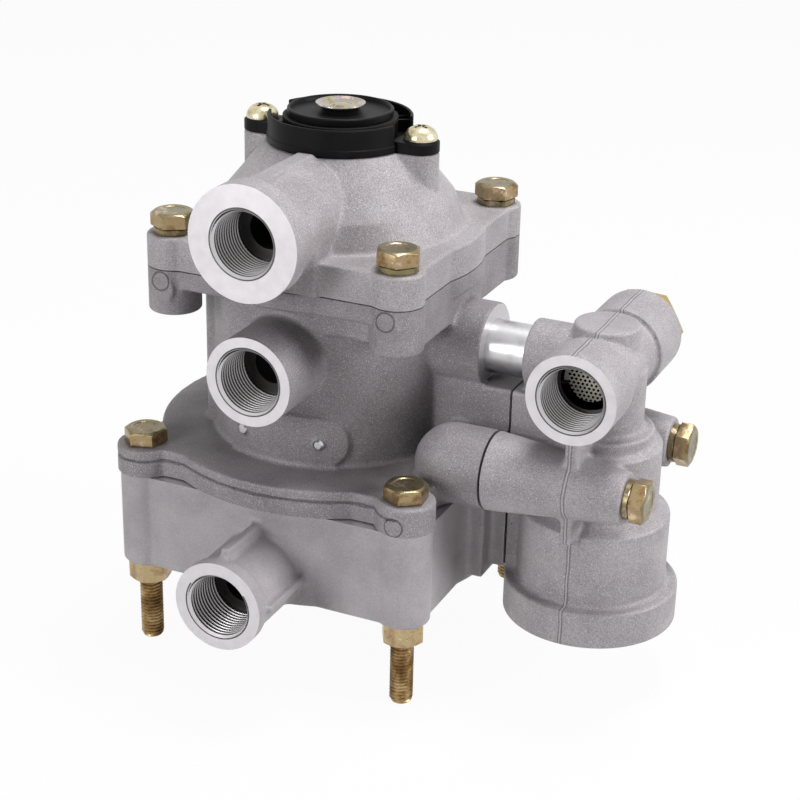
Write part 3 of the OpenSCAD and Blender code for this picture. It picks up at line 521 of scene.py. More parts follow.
def cast_metal(name, grey, grit, seam=None, marks=()):
    """Shot-blasted aluminium of a grey from 0 to 255. Grit is the contrast of its grain and of its painted
    glints.

    Seam is the x of a parting line that stands a little proud, with a painted highlight along it and a
    painted shadow on both sides. Marks are the rings that ejector pins left on the front, each given as (x,
    z).
    """
    look = Look(bpy.data.materials.new(name))
    grain = look.noise(0.5 * MM, 3, 0.65)
    dents = look.cells(1.1 * MM, {"feature": "SMOOTH_F1"})
    cloud = look.noise(16 * MM, 4, 0.6)
    pores = look.noise(1.3 * MM, 1).between(0.77, 0.82)
    # Painted glints: fine pale specks in the colour that stand in for light caught by the dents.
    painted_glints = look.noise(0.3 * MM, 1).between(0.62, 0.70)
    dim = tint(grey - 8, grey - 13, grey - 10)
    pale = tint(grey + 9, grey + 4, grey + 7)
    tone = look.mix(cloud.between(0.3, 0.7), dim, pale)
    tone = look.mix(grain.between(0.62, 0.36) * (0.6 * grit), tone, tint(grey - 62, grey - 66, grey - 64))
    tone = look.mix(painted_glints * (0.75 * grit), tone, tint(238, 234, 236))
    tone = look.mix(pores * 0.6, tone, tint(84, 80, 80))
    height = (grain + dents * 0.7) * (0.5 + grit) - pores * 1.5
    x, y, _ = look.axes()
    if seam is not None:
        wander = (look.noise(9 * MM, 2) - 0.5) * (0.8 * MM)
        off = look.node("Math", {"operation": "ABSOLUTE"}, {0: x + wander - seam})
        # Painted highlight along the raised seam, and a painted shadow in a band on both sides of it.
        line = 1 - off.between(0.12 * MM, 0.42 * MM)
        shade = off.between(0.2 * MM, 0.5 * MM) * (1 - off.between(0.5 * MM, 0.9 * MM))
        height = height + line * 4
        tone = look.mix(line * 0.4, tone, tint(216, 212, 214))
        tone = look.mix(shade * 0.6, tone, tint(70, 66, 67))
    if marks:
        off = look.node("Math", {"operation": "ABSOLUTE"}, {0: ring_distance(look, marks) - MARK_R})
        ring = (1 - off.between(0.1 * MM, 0.4 * MM)) * y.between(MARK_BACK, MARK_FRONT)
        height = height - ring * 3
        tone = look.mix(ring * 0.7, tone, tint(70, 66, 67))
    return look.finish({
        "Base Color": tone, "Metallic": 0.1, "Roughness": 0.44 + 0.2 * grain + 0.2 * pores,
        "Specular IOR Level": 0.35, "Normal": look.bump(height, 0.07 * MM)})


def turned_metal(name, centres, dull=0.0, root=None):
    """A lathe-turned face with fine rings. Dull is a share of painted shade that darkens it, most of all
    beyond the root radius, in a thread's grooves.
    """
    look = Look(bpy.data.materials.new(name))
    reach = ring_distance(look, centres)
    groove = look.node("Math", {"operation": "SINE"}, {0: reach * (TURN / (0.42 * MM))})
    smear = look.noise(3.2 * MM, 3)
    tone = look.mix(smear, tint(202, 198, 201), tint(220, 216, 219))
    tone = look.mix(groove.between(-1, 1) * 0.12, tone, tint(160, 156, 159))
    if root:
        # Painted shade in the grooves of a thread, beyond the root radius.
        dull = dull + reach.between(root, root + 0.35 * MM) * (1 - dull)
    tone = look.mix(dull, tone, tint(52, 50, 46))
    return look.finish({
        "Base Color": tone, "Metallic": 0.8, "Roughness": 0.3 + 0.18 * smear,
        "Normal": look.bump(groove + 0.5 * look.noise(0.3 * MM, 2), 0.006 * MM)})


TAP_ROOT = PORT_MINOR + 0.1 * MM
MARK_R = 3.1 * MM
MARK_BACK = -44 * MM
MARK_FRONT = -46 * MM
EJECTORS = [(-40.4 * MM, 134 * MM), (40.4 * MM, 134 * MM), (48.6 * MM, 68.6 * MM)]
CAST = cast_metal("cast_aluminium", 166, 0.35)
CAST_COVER = cast_metal("cast_cover", 168, 0.8)
# Painted shade: the middle casting is the same aluminium, given a darker grey to stand for the shade on its
# waist.
CAST_WAIST_PAINTED_SHADE = cast_metal("cast_waist", 144, 0.65, marks=EJECTORS)
CAST_BARREL = cast_metal("cast_barrel", 166, 0.75, seam=BARREL.x)
AXES = [(port.x, port.z) for port in ports.values()]
TURNED = turned_metal("turned_face", AXES)
# Painted shade: the tapped thread is darkened, most of all in its roots, and the bored walls go nearly
# black.
TAPPED = turned_metal("tapped_thread", AXES, dull=0.4, root=TAP_ROOT)
BORED = turned_metal("bored_wall", AXES, dull=0.9)
finishes = (CAST, CAST_COVER, CAST_WAIST_PAINTED_SHADE, CAST_BARREL, TURNED, TAPPED, BORED)
print("cast and machined finishes:", [m.name for m in finishes])

# %% [markdown]
# ## Finishes of the fasteners and small parts
#
# The bolts are zinc plated and then dipped in a yellow chromate that dries unevenly: thin it looks pale
# gold, thick it looks brown, and between them it shows faint green and rose like oil on water. One slow
# noise picks the tint from a colour ramp and a finer one breaks it up. The flats of the hexagons were cold
# drawn. They are painted lighter and more orange than the tops and turned faces, which are painted darker:
# a painted reflection, light on the sides and dark on top, in two copies of one plating.

# %% Zinc, steel, brass, rubber and plastic
def plated(name, stops, rough, specks):
    """Chromate over zinc: a ramp of tints over slow noise, with fine dark specks."""
    look = Look(bpy.data.materials.new(name))
    slow = look.noise(5.5 * MM, 2, 0.6)
    fine = look.noise(0.7 * MM, 3, 0.6)
    tone = look.ramp((slow * 0.75 + fine * 0.25).between(0.3, 0.7), *stops)
    dark = look.noise(1.1 * MM, 2).between(0.62, 0.72) * specks
    tone = look.mix(dark, tone, tint(104, 72, 40))
    return look.finish({
        "Base Color": tone, "Metallic": 0.85, "Roughness": rough + 0.15 * fine + 0.15 * dark,
        "Normal": look.bump(fine, 0.02 * MM)})


# Painted reflection: the tops and turned faces get a darker copy of the plating, the hexagon flats and nut
# flats lighter ones.
ZINC_TOP_PAINTED_REFLECTION = plated("yellow_zinc_top", [
    (0, tint(98, 84, 60)), (0.35, tint(138, 126, 94)), (0.6, tint(124, 116, 86)),
    (0.8, tint(144, 126, 102)), (1, tint(188, 178, 150))], 0.22, 0.4)
ZINC_FLAT_PAINTED_REFLECTION = plated("yellow_zinc_flat", [
    (0, tint(114, 88, 58)), (0.4, tint(166, 140, 104)), (0.62, tint(152, 140, 102)),
    (0.8, tint(172, 142, 114)), (1, tint(212, 192, 158))], 0.24, 0.5)
ZINC_NUT_PAINTED_REFLECTION = plated("yellow_zinc_nut", [
    (0, tint(150, 122, 92)), (0.45, tint(186, 164, 128)), (0.75, tint(174, 160, 116)),
    (1, tint(216, 200, 166))], 0.26, 0.35)
ZINC_THREAD = plated("yellow_zinc_thread", [
    (0, tint(104, 76, 44)), (0.5, tint(150, 122, 80)), (1, tint(194, 172, 132))], 0.3, 0.6)
RIVET = plated("plated_rivet", [
    (0, tint(120, 108, 112)), (0.3, tint(188, 170, 132)), (0.55, tint(150, 168, 152)),
    (0.75, tint(186, 150, 166)), (1, tint(224, 216, 190))], 0.14, 0.1)
SCREW = plated("screw_zinc", [
    (0, tint(150, 138, 108)), (0.5, tint(206, 194, 158)), (1, tint(232, 224, 200))], 0.16, 0.2)


def drawn_steel(name, light, dark, rough, grain_size):
    """Bright or oiled steel with faint marks and a few dull stains."""
    look = Look(bpy.data.materials.new(name))
    marks = look.noise(grain_size, 3, 0.6)
    stain = look.noise(6 * MM, 2).between(0.5, 0.75)
    tone = look.mix(stain * 0.5 + marks * 0.3, light, dark)
    return look.finish({
        "Base Color": tone, "Metallic": 0.95, "Roughness": rough + 0.12 * stain + 0.08 * marks,
        "Normal": look.bump(marks, 0.003 * MM)})


STEEL = drawn_steel("polished_steel", tint(206, 206, 208), tint(150, 148, 150), 0.26, 1.6 * MM)
SPRING = drawn_steel("spring_steel", tint(150, 146, 142), tint(70, 66, 64), 0.3, 0.6 * MM)
BRASS = drawn_steel("olive_brass", tint(196, 170, 104), tint(112, 96, 54), 0.3, 1.2 * MM)
ALLOY = drawn_steel("turned_alloy", tint(214, 214, 216), tint(150, 150, 154), 0.28, 0.9 * MM)
MESH = drawn_steel("strainer_alloy", tint(190, 186, 176), tint(96, 90, 80), 0.34, 0.5 * MM)


def dark_polymer(name, color, dusty, rough, dust):
    """Rubber or moulded plastic: a dark base, a soft mould texture and pale dust specks."""
    look = Look(bpy.data.materials.new(name))
    texture = look.noise(0.35 * MM, 2)
    film = look.noise(8 * MM, 3)
    specks = look.noise(0.9 * MM, 1).between(0.68, 0.74) * dust
    tone = look.mix(film * 0.35 + specks * 0.7, color, dusty)
    return look.finish({
        "Base Color": tone, "Roughness": rough + 0.18 * film + 0.2 * specks, "Specular IOR Level": 0.1,
        "Normal": look.bump(texture + specks, 0.012 * MM)})


RUBBER = dark_polymer("sealing_rubber", tint(26, 25, 25), tint(58, 56, 55), 0.6, 0.4)
PLASTIC = dark_polymer("black_plastic", tint(9, 9, 11), tint(30, 30, 32), 0.36, 0.6)
print("finishes in all:", len(bpy.data.materials))

# %% [markdown]
# ## One casting, start to finish
#
# Each housing goes the way that the real one went. First every bore is plugged and every machined plane
# gets some stock, and the skin is rounded as a casting. Then the cavity is taken away again. It is the plugs
# minus the node's own solid, so each bore comes back exactly as the frame has it. Last, planes and port
# faces are milled and the ports are tapped, and each cutter leaves its own finish behind. The faces that
# meet at the two stacked joints are milled a hair too far, so that each joint shows as a fine dark line.

# %% Cast and machine one housing
STOCK = 2.5 * MM
REACH = 200 * MM
FILLET = 1.0 * MM
EDGE = 0.3 * MM
JOINT_GAP = 0.2 * MM
MOUTH = 11.2 * MM
MOUTH_DEPTH = 1.2 * MM
PLUG_OVER = 0.5 * MM
AIR_WAY = 6.5 * MM
ON_PLANE = 0.01 * MM


def hollow(radius, start, end, where=(0, 0, 0), axis="Z", over=1.0 * MM):
    """A round cavity: the plug that fills it, and the longer one that opens it again."""
    fill = placed(rod(radius + PLUG_OVER, start, end), where, axis)
    opened = placed(rod(radius + PLUG_OVER, start - over, end + over), where, axis)
    return fill, opened


def own_solid(node):
    """The node's solid with the doubled points of neighbouring faces joined."""
    mesh = bmesh.new()
    mesh.from_mesh(frame["nodes"][node].data)
    bmesh.ops.remove_doubles(mesh, verts=mesh.verts, dist=0.001 * MM)
    return as_solid(mesh)


def beyond(axis, plane, side):
    """A block that holds everything past a plane, for a mill to take away."""
    corner = [-REACH, -REACH, -REACH]
    other = [REACH, REACH, REACH]
    if side > 0:
        corner[axis] = plane
    else:
        other[axis] = plane
    return block(corner, other)


def stretched(solid, planes):
    """The solid with the points that lie on each machined plane moved out by the stock."""
    verts = solid[0].copy()
    for axis, plane, side in planes:
        verts[np.abs(verts[:, axis] - plane) < ON_PLANE, axis] += side * STOCK
    return verts, solid[1]


def port_hollows(port, inner):
    """Plugs for a port: its mouth and thread, and the air way behind them down to y = -inner."""
    where = (port.x, 0, port.z)
    return [hollow(PORT_MINOR + 1 * MM, -port.face - port.depth, -port.face + STOCK, where, "-Y"),
            hollow(AIR_WAY, inner, -port.face, where, "-Y")]


def casting(name, node, hollows, planes, port, material, seats=(), gouges=()):
    """The finished casting that stands for a node. Seats are turned discs, and gouges are crisp cuts."""
    face = (1, port.face, -1)
    stock = stretched(own_solid(node), [*planes, face])
    obj = cast_skin(name, [stock] + [fill for fill, _ in hollows], FILLET, EDGE, SKIN_SHARE, material)
    cavity = piece("cavity", hollows[0][1], BORED)
    for _, opened in hollows[1:]:
        welded(cavity, opened, BORED)
    for solid in gouges:
        welded(cavity, solid, material)
    boolean(cavity, piece("core", own_solid(node), BORED), "DIFFERENCE")
    boolean(obj, cavity, "DIFFERENCE")
    for axis, plane, side in planes:
        gap = side * JOINT_GAP if axis == 2 else 0
        machined(obj, beyond(axis, plane - gap, side), TURNED)
    for seat in seats:
        machined(obj, seat, TURNED)
    where = (port.x, port.face, port.z)
    machined(obj, placed(rod(port.boss + 3 * MM, 0, 3 * STOCK), where, "-Y"), TURNED)
    machined(obj, placed(TAP, where, "Y"), TAPPED)
    cone = [(0, -MOUTH_DEPTH), (MOUTH + MOUTH_DEPTH, -MOUTH_DEPTH), (MOUTH - MOUTH_DEPTH, MOUTH_DEPTH),
            (0, MOUTH_DEPTH)]
    machined(obj, placed(turned(cone), where, "Y"), TURNED)
    shaded(obj, material)
    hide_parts(node)
    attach(obj, "housing")
    box = np.array([points_of(obj).min(0), points_of(obj).max(0)]) / MM
    print(name, len(obj.data.polygons), "faces, from", box[0].round(1), "to", box[1].round(1))


print("joints are milled back", JOINT_GAP / MM, "mm")

# %% [markdown]
# ## The lower housing
#
# A wide shallow pot for the control piston, with a column for each long bolt and a long port boss at the
# front. Its plugs are the pot itself, the four bolt holes, the port and the small air way to the barrel.

# %% Lower housing
FOUR = [(sx, sy) for sx in (-1, 1) for sy in (-1, 1)]
STUD_HALF = mounts["mounting_studs"]["dims"]["spacing_x_mm"] / 2 * MM
BOLT_HOLE = 4.4 * MM
FLOOR_Z = low("control_piston").z
LOWER_BORE = high("joint_seal_lower").x
PAD_X = low("side_gasket").x
BARREL_X = high("side_gasket").x
PAD_WAY = 3 * MM
IN_THE_BORE = 45 * MM
lower = ports["lower_port"]
casting(
    "lower_casting", "lower_housing",
    [hollow(LOWER_BORE, FLOOR_Z, JOINT_Z + STOCK, over=0)]
    + [hollow(BOLT_HOLE, FOOT_Z, JOINT_Z + STOCK, (sx * STUD_HALF, sy * STUD_HALF, 0))
       for sx, sy in FOUR]
    + port_hollows(lower, IN_THE_BORE)
    + [hollow(PAD_WAY, IN_THE_BORE, PAD_X + STOCK, (0, 0, lower.z), "X")],
    [(2, JOINT_Z, 1), (0, PAD_X, 1)], lower, CAST)

# %% [markdown]
# ## The middle housing
#
# The waist carries the emergency piston, the waist port, the blank plate pad and the sockets for the barrel.
# The groove round its lower flange is narrower than the fillet, so rounding would close it. It is cut again
# at the end, as a thin slab minus the node's own solid. The face of the tube's socket is milled too, and the
# cutter stops at the web below it, so that disc is flat at the bottom.

# %% Middle housing
WAIST_BORE = high("joint_seal_upper").x
FLANGE_Z = low("emergency_spring").z
DECK_Z = high("control_spring").z
COVER_SPOTS = 40.4 * MM
COVER_HOLE_END = 124.7 * MM
SIDE_HOLE_END = 48.6 * MM
TAPPED_HOLE = 4 * MM
SIDE_BOLT = middle("side_gasket")
SIDE_SPOTS = 24.3 * MM
TUBE = middle("transfer_tube")
SOCKET_LAND = 3 * MM
TUBE_FACE = high("tube_seals").x + SOCKET_LAND
TUBE_END = low("transfer_tube").x
SEAL_R = high("tube_seals").y
TUBE_R = high("transfer_tube").y
PIN = middle("plate_pins")
PIN_SPOTS = 14 * MM
PIN_HOLE = 1.2 * MM
PIN_HOLE_END = 38 * MM
GROOVE_LOW = JOINT_Z + 5.2 * MM
GROOVE_HIGH = GROOVE_LOW + 1.5 * MM
GROOVE_END = 50 * MM
IN_THE_WAIST = 30 * MM
SOCKET_R = 14.2 * MM
WEB_TOP = TUBE.z - 10.3 * MM
socket_cut = placed(rod(SOCKET_R, -0.1 * MM, STOCK), (TUBE_FACE, 0, TUBE.z), "X")
socket_cut[0][:, 2] = socket_cut[0][:, 2].clip(WEB_TOP)
waist = ports["waist_port"]
casting(
    "middle_casting", "middle_housing",
    [hollow(WAIST_BORE, DECK_Z, COVER_Z + STOCK, over=0),
     hollow(LOWER_BORE - 2 * MM, JOINT_Z - STOCK, DECK_Z, over=0.01 * MM)]
    + [hollow(BOLT_HOLE, JOINT_Z - STOCK, FLANGE_Z, (sx * STUD_HALF, sy * STUD_HALF, 0)) for sx, sy in FOUR]
    + [hollow(TAPPED_HOLE, COVER_HOLE_END, COVER_Z + STOCK, (sx * COVER_SPOTS, sy * COVER_SPOTS, 0),
              over=0) for sx, sy in FOUR]
    + port_hollows(waist, IN_THE_WAIST)
    + [hollow(SEAL_R, TUBE_END - 1 * MM, TUBE_FACE, (0, 0, TUBE.z), "X"),
       hollow(AIR_WAY, IN_THE_WAIST, TUBE_FACE, (0, 0, TUBE.z), "X")]
    + [hollow(TAPPED_HOLE, SIDE_HOLE_END, PAD_X + STOCK, (0, s * SIDE_SPOTS, SIDE_BOLT.z), "X", over=0)
       for s in (-1, 1)]
    + [hollow(PIN_HOLE, PIN_HOLE_END, -high("plate_pins").y + 3 * MM, (s * PIN_SPOTS, 0, PIN.z), "-Y")
       for s in (-1, 1)],
    [(2, JOINT_Z, -1), (2, COVER_Z, 1), (0, PAD_X, 1)], waist, CAST_WAIST_PAINTED_SHADE, seats=[socket_cut],
    gouges=[block((-REACH, s * STUD_HALF, GROOVE_LOW), (GROOVE_END, s * REACH, GROOVE_HIGH))
            for s in (-1, 1)])

# %% [markdown]
# ## The top cover
#
# The cover is a dome on a square flange. The largest port comes out of its front, and the vent sits on a
# round seat on top, which is cut clear through the rib of the port boss.

# %% Top cover
EXHAUST = 16.6 * MM
VENT_SPOTS = 29.2 * MM
VENT_HOLE = 2.4 * MM
VENT_HOLE_DEPTH = 9 * MM
SEAT_R = 24.7 * MM
SEAT_H = 8 * MM
COVER_BORE = 34 * MM
GUIDE_BORE = 21 * MM
GUIDE_TOP = high("valve_guide").z
IN_THE_DOME = 15 * MM
top = ports["cover_port"]
casting(
    "top_casting", "top_cover",
    [hollow(COVER_BORE, COVER_Z - STOCK, FLANGE_TOP_Z + 1 * MM, over=0),
     hollow(GUIDE_BORE, COVER_Z - STOCK, GUIDE_TOP, over=0),
     hollow(EXHAUST, GUIDE_TOP - 1 * MM, DOME_Z, over=0)]
    + [hollow(BOLT_HOLE, COVER_Z - STOCK, FLANGE_TOP_Z, (sx * COVER_SPOTS, sy * COVER_SPOTS, 0))
       for sx, sy in FOUR]
    + [hollow(VENT_HOLE, DOME_Z - VENT_HOLE_DEPTH, DOME_Z, (s * VENT_SPOTS, 0, 0)) for s in (-1, 1)]
    + port_hollows(top, IN_THE_DOME),
    [(2, COVER_Z, -1)], top, CAST_COVER, gouges=[rod(SEAT_R, DOME_Z, DOME_Z + SEAT_H)])

# %% [markdown]
# ## The side barrel
#
# The barrel hangs open end down beside the stack and carries the check valve. Two bolt tubes run through it,
# and its head is a cross arm with the fourth port in front and the strainer plug behind. The two halves of
# its mould met in the plane of the barrel's axis, so its finish has a parting line there.

# %% Side barrel
BARREL_END = 23.7 * MM
BAND_BORE = 22.2 * MM
BAND_BORE_TOP = 57.7 * MM
CHAMBER = 15.5 * MM
CHAMBER_LOW = 57 * MM
RISER = 6 * MM
RISER_LOW = 80 * MM
ARM_BORE = 11.6 * MM
ARM_FRONT = -14.5 * MM
ARM_REAR = low("plug_seal").y
BEHIND_THE_AXIS = -5 * MM
SIDE_TUBE_END = low("side_washers").x
side = ports["barrel_port"]
casting(
    "side_casting", "side_barrel",
    [hollow(BAND_BORE, BARREL_END - STOCK, BAND_BORE_TOP, (BARREL.x, 0, 0), over=0),
     hollow(CHAMBER, CHAMBER_LOW, high("check_seal").z, (BARREL.x, 0, 0), over=0),
     hollow(RISER, RISER_LOW, TUBE.z, (BARREL.x, 0, 0), over=0)]
    + port_hollows(side, BEHIND_THE_AXIS)
    + [hollow(ARM_BORE, ARM_FRONT, ARM_REAR, (BARREL.x, 0, side.z), "Y", over=0.5 * MM),
       hollow(TUBE_R, TUBE.x + 7 * MM, BARREL.x - 2 * MM, (0, 0, TUBE.z), "X"),
       hollow(PAD_WAY, BARREL_X - STOCK, BARREL.x - 10 * MM, (0, 0, lower.z), "X")]
    + [hollow(BOLT_HOLE, BARREL_X - STOCK, SIDE_TUBE_END, (0, s * SIDE_SPOTS, SIDE_BOLT.z), "X")
       for s in (-1, 1)],
    [(0, BARREL_X, -1), (2, BARREL_END, -1)], side, CAST_BARREL)

# %% [markdown]
# ## Fasteners
#
# Four long M8 bolts clamp the two lower castings, and their free thread also carries the valve, so that
# thread is in plain sight and is cut as a real helix. A hexagon head is a six-sided bar that a lathe has
# faced, so it is the overlap of a prism and a turned cone. The prism's flats get a lighter copy of the
# plating and the turned faces a darker one, as a painted reflection. One head is made and copied, each
# copy turned by its own angle, because no fitter lines them up.

# %% Hexagons, arcs and copies
FLATS = 13 * MM
THREAD_ROOT = 3.32 * MM
THREAD_CREST = 3.97 * MM
COARSE_PITCH = 1.25 * MM
SHANK_R = 4 * MM
PRESSED_EDGE = 0.14 * MM


def arc(profile, begin, finish, steps):
    """A closed profile of (radius, height) pairs, anticlockwise, swept about Z. A full turn joins up."""
    whole = finish - begin >= TURN - 1e-6
    rows = steps if whole else steps + 1
    count = len(profile)
    verts = []
    for k in range(rows):
        angle = begin + (finish - begin) * k / steps
        verts += [(r * math.cos(angle), r * math.sin(angle), z) for r, z in profile]
    faces = [[k * count + j, (k + 1) % rows * count + j, (k + 1) % rows * count + (j + 1) % count,
              k * count + (j + 1) % count] for k in range(steps) for j in range(count)]
    if not whole:
        faces += [list(range(count)), list(range(rows * count - 1, (rows - 1) * count - 1, -1))]
    return np.array(verts, float), faces


def hexagonal(name, profile, flats, flat_look, turned_look):
    """The overlap of a hexagonal bar and a turned profile."""
    heights = [z for _, z in profile]
    obj = piece(name, rod(flats / math.sqrt(3), min(heights) - MM, max(heights) + MM, 6), flat_look)
    return boolean(obj, piece("cone", turned(profile), turned_look), "INTERSECT")


def softened(obj, width):
    """The object with its sharp edges rounded a little, as pressing and plating leave them."""
    soft = obj.modifiers.new("soft", "BEVEL")
    soft.width = width
    soft.segments = 2
    soft.limit_method = "ANGLE"
    soft.angle_limit = SHARP
    return applied(obj)


def at(where, turn=0.0, along="Z"):
    """The matrix that turns a template about its own Z, lays it along an axis and moves it into place."""
    return Matrix.Translation(where) @ LAY[along].to_4x4() @ Matrix.Rotation(turn, 4, "Z")


def copied(name, template, matrices, node):
    """One object made of a template's copies. It stands for a node, and the template is used up."""
    whole = bmesh.new()
    for matrix in matrices:
        copy = template.data.copy()
        copy.transform(matrix)
        whole.from_mesh(copy)
        bpy.data.meshes.remove(copy)
    mesh = bpy.data.meshes.new(name)
    whole.to_mesh(mesh)
    whole.free()
    for material in template.data.materials:
        mesh.materials.append(material)
    bpy.data.objects.remove(template)
    obj = bpy.data.objects.new(name, mesh)
    bpy.context.scene.collection.objects.link(obj)
    worn(obj, node)


def worn(obj, node, body="housing"):
    """The piece stands for a node and rides on a body."""
    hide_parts(node)
    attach(obj, body)
    print(obj.name, len(obj.data.polygons), "faces, for", node)


print("heads are", FLATS / MM, "mm across their flats")


# %% A bolt
def head_profile(height):
    """A hexagon head: washer face below, cone and flat face above."""
    half = FLATS / 2
    return [(0, 0), (half - 0.35 * MM, 0), (half - 0.35 * MM, 0.35 * MM), (half + 1.2 * MM, 0.36 * MM),
            (half + 1.2 * MM, height - 1.0 * MM), (half - 0.35 * MM, height - 0.12 * MM),
            (half - 0.75 * MM, height), (half - 2.2 * MM, height), (half - 2.6 * MM, height - 0.22 * MM),
            (0, height - 0.22 * MM)]


def bolt_template(name, length, height, free=0.0):
    """A bolt with its head on z = 0 and its shank below, threaded over its free end."""
    obj = softened(hexagonal(name, head_profile(height), FLATS, ZINC_FLAT_PAINTED_REFLECTION, ZINC_TOP_PAINTED_REFLECTION), PRESSED_EDGE)
    tip = [(0, -length), (SHANK_R - 0.8 * MM, -length), (SHANK_R, -length + 0.8 * MM), (SHANK_R, 0.2 * MM),
           (0, 0.2 * MM)]
    if free:
        tip = [(0, free - length), (SHANK_R, free - length), (SHANK_R, 0.2 * MM), (0, 0.2 * MM)]
        thread, gaps = threaded(THREAD_ROOT, THREAD_CREST, COARSE_PITCH, -length, free - length + 0.5 * MM,
                                1.1 * MM)
        print("thread open edges:", gaps)
        welded(obj, thread, ZINC_THREAD)
    welded(obj, turned(tip, THREAD_SIDES), ZINC_TOP_PAINTED_REFLECTION)
    return shaded(obj)


print("a head's profile has", len(head_profile(MM)), "corners")

# %% Long bolts and their nuts
FITTED = [0.30, 1.12, 0.62, 0.05]
HEAD_H = high("housing_bolts").z - FLANGE_Z
NUT_Z = low("housing_nuts").z
stud_spots = [(sx * STUD_HALF, sy * STUD_HALF, FLANGE_Z) for sx, sy in FOUR]
copied(
    "long_bolts", bolt_template("long_bolt", FLANGE_Z, HEAD_H, NUT_Z + 2 * MM),
    [at(spot, turn) for spot, turn in zip(stud_spots, FITTED)], "housing_bolts")
NUT_H = FOOT_Z - NUT_Z
half_flats = FLATS / 2
nut_profile = [(0, 0), (half_flats - 0.1 * MM, 0), (half_flats + 1.2 * MM, 0.7 * MM),
               (half_flats + 1.2 * MM, NUT_H - 0.7 * MM), (half_flats - 0.1 * MM, NUT_H), (0, NUT_H)]
nut = softened(hexagonal("nut", nut_profile, FLATS, ZINC_NUT_PAINTED_REFLECTION, ZINC_TOP_PAINTED_REFLECTION), PRESSED_EDGE)
nut_bore = SHANK_R + 0.01 * MM
nut_mouth = SHANK_R + 0.6 * MM
machined(nut, turned([(0, -MM), (nut_mouth, -MM), (nut_mouth, 0), (nut_bore, 0.6 * MM),
                      (nut_bore, NUT_H + MM), (0, NUT_H + MM)], THREAD_SIDES), ZINC_THREAD)
copied(
    "long_bolt_nuts", shaded(nut),
    [at((x, y, NUT_Z), turn + 0.4) for (x, y, _), turn in zip(stud_spots, FITTED)],
    "housing_nuts")

# %% [markdown]
# ### Washers and shorter bolts
#
# A spring washer is one turn of square bar with a slit, and its slit shows below the head, so it is swept
# and not punched. The cover and the barrel are held by plain short bolts on such washers. Their threads are
# out of sight in the tapped holes, so their shanks stay smooth.

# %% Washers, cover bolts and barrel bolts
WASHER_T = high("cover_washers").z - FLANGE_TOP_Z
WASHER_IN = 4.15 * MM
WASHER_OUT = 6.6 * MM
SLIT = 0.16
washer_section = [(WASHER_IN, 0), (WASHER_OUT - 0.2 * MM, 0), (WASHER_OUT, 0.2 * MM),
                  (WASHER_OUT, WASHER_T - 0.2 * MM), (WASHER_OUT - 0.2 * MM, WASHER_T),
                  (WASHER_IN, WASHER_T)]


def washer_template():
    """A split washer: one turn of square bar, less a slit."""
    return shaded(piece("washer", arc(washer_section, SLIT, TURN - SLIT, 72), ZINC_TOP_PAINTED_REFLECTION))


cover_spots = [(sx * COVER_SPOTS, sy * COVER_SPOTS, FLANGE_TOP_Z) for sx, sy in FOUR]
COVER_HEAD_H = high("cover_bolts").z - high("cover_washers").z
copied("cover_spring_washers", washer_template(),
       [at(spot, turn * 5) for spot, turn in zip(cover_spots, FITTED)], "cover_washers")
copied(
    "short_bolts", bolt_template("short_bolt", high("cover_washers").z - low("cover_bolts").z, COVER_HEAD_H),
    [at((x, y, z + WASHER_T), turn + 0.25) for (x, y, z), turn in zip(cover_spots, FITTED)],
    "cover_bolts")
side_spots = [(SIDE_TUBE_END, s * SIDE_SPOTS, SIDE_BOLT.z) for s in (-1, 1)]
copied("side_spring_washers", washer_template(),
       [at(spot, 2.2 * k, "X") for k, spot in enumerate(side_spots)], "side_washers")
SIDE_SEAT = high("side_washers").x
copied(
    "barrel_bolts", bolt_template("barrel_bolt", SIDE_SEAT - low("side_bolts").x, COVER_HEAD_H),
    [at((SIDE_SEAT, y, z), 0.35 + 0.5 * k, "X") for k, (_, y, z) in enumerate(side_spots)],
    "side_bolts")

# %% [markdown]
# ## The vent
#
# Exhaust air leaves through a black moulded vent that keeps splashed water out. Its skirt is two thin arcs,
# open at the ears that carry the screws, with a lip near its foot and ribs behind it. A cup with a raised
# rim is riveted on top of a rubber flap. Each part of the moulding is swept or turned with its rounded edges
# in the profile, and the parts are welded into one.

# %% The vent's moulding
SKIRT_R = middle("vent_flap").x + high("vent_base").y
SKIRT_H = 9.2 * MM
SKIRT_WALL = 1.3 * MM
SKIRT_GAP = 0.30
EAR_R = 6.2 * MM
EAR_T = 4 * MM
PLATE_T = 2.4 * MM
FLAP_R = high("vent_flap").x
FLAP_Z = low("vent_flap").z - DOME_Z
RIVET_HOLE = 1.8 * MM
RIBS = 28
RIB_T = 1.0 * MM
HUB_R = 6.3 * MM
skirt_section = [
    (SKIRT_R - SKIRT_WALL, 0.3 * MM), (SKIRT_R - 0.9 * MM, 0), (SKIRT_R - 0.25 * MM, 0.3 * MM),
    (SKIRT_R, 0.9 * MM), (SKIRT_R, 2.5 * MM), (SKIRT_R - 0.3 * MM, 2.75 * MM),
    (SKIRT_R - 0.3 * MM, SKIRT_H - 0.35 * MM), (SKIRT_R - 0.6 * MM, SKIRT_H), (SKIRT_R - 1.1 * MM, SKIRT_H),
    (SKIRT_R - SKIRT_WALL, SKIRT_H - 0.3 * MM)]
plate_r = SKIRT_R - 0.8 * MM
plate_section = [(RIVET_HOLE, 0), (plate_r, 0), (plate_r, PLATE_T), (RIVET_HOLE, PLATE_T)]
moulding = piece("vent_moulding", arc(plate_section, 0, TURN, ROUND), PLASTIC)
for begin in (SKIRT_GAP, SKIRT_GAP + math.pi):
    welded(moulding, arc(skirt_section, begin, begin + math.pi - 2 * SKIRT_GAP, 56), PLASTIC)
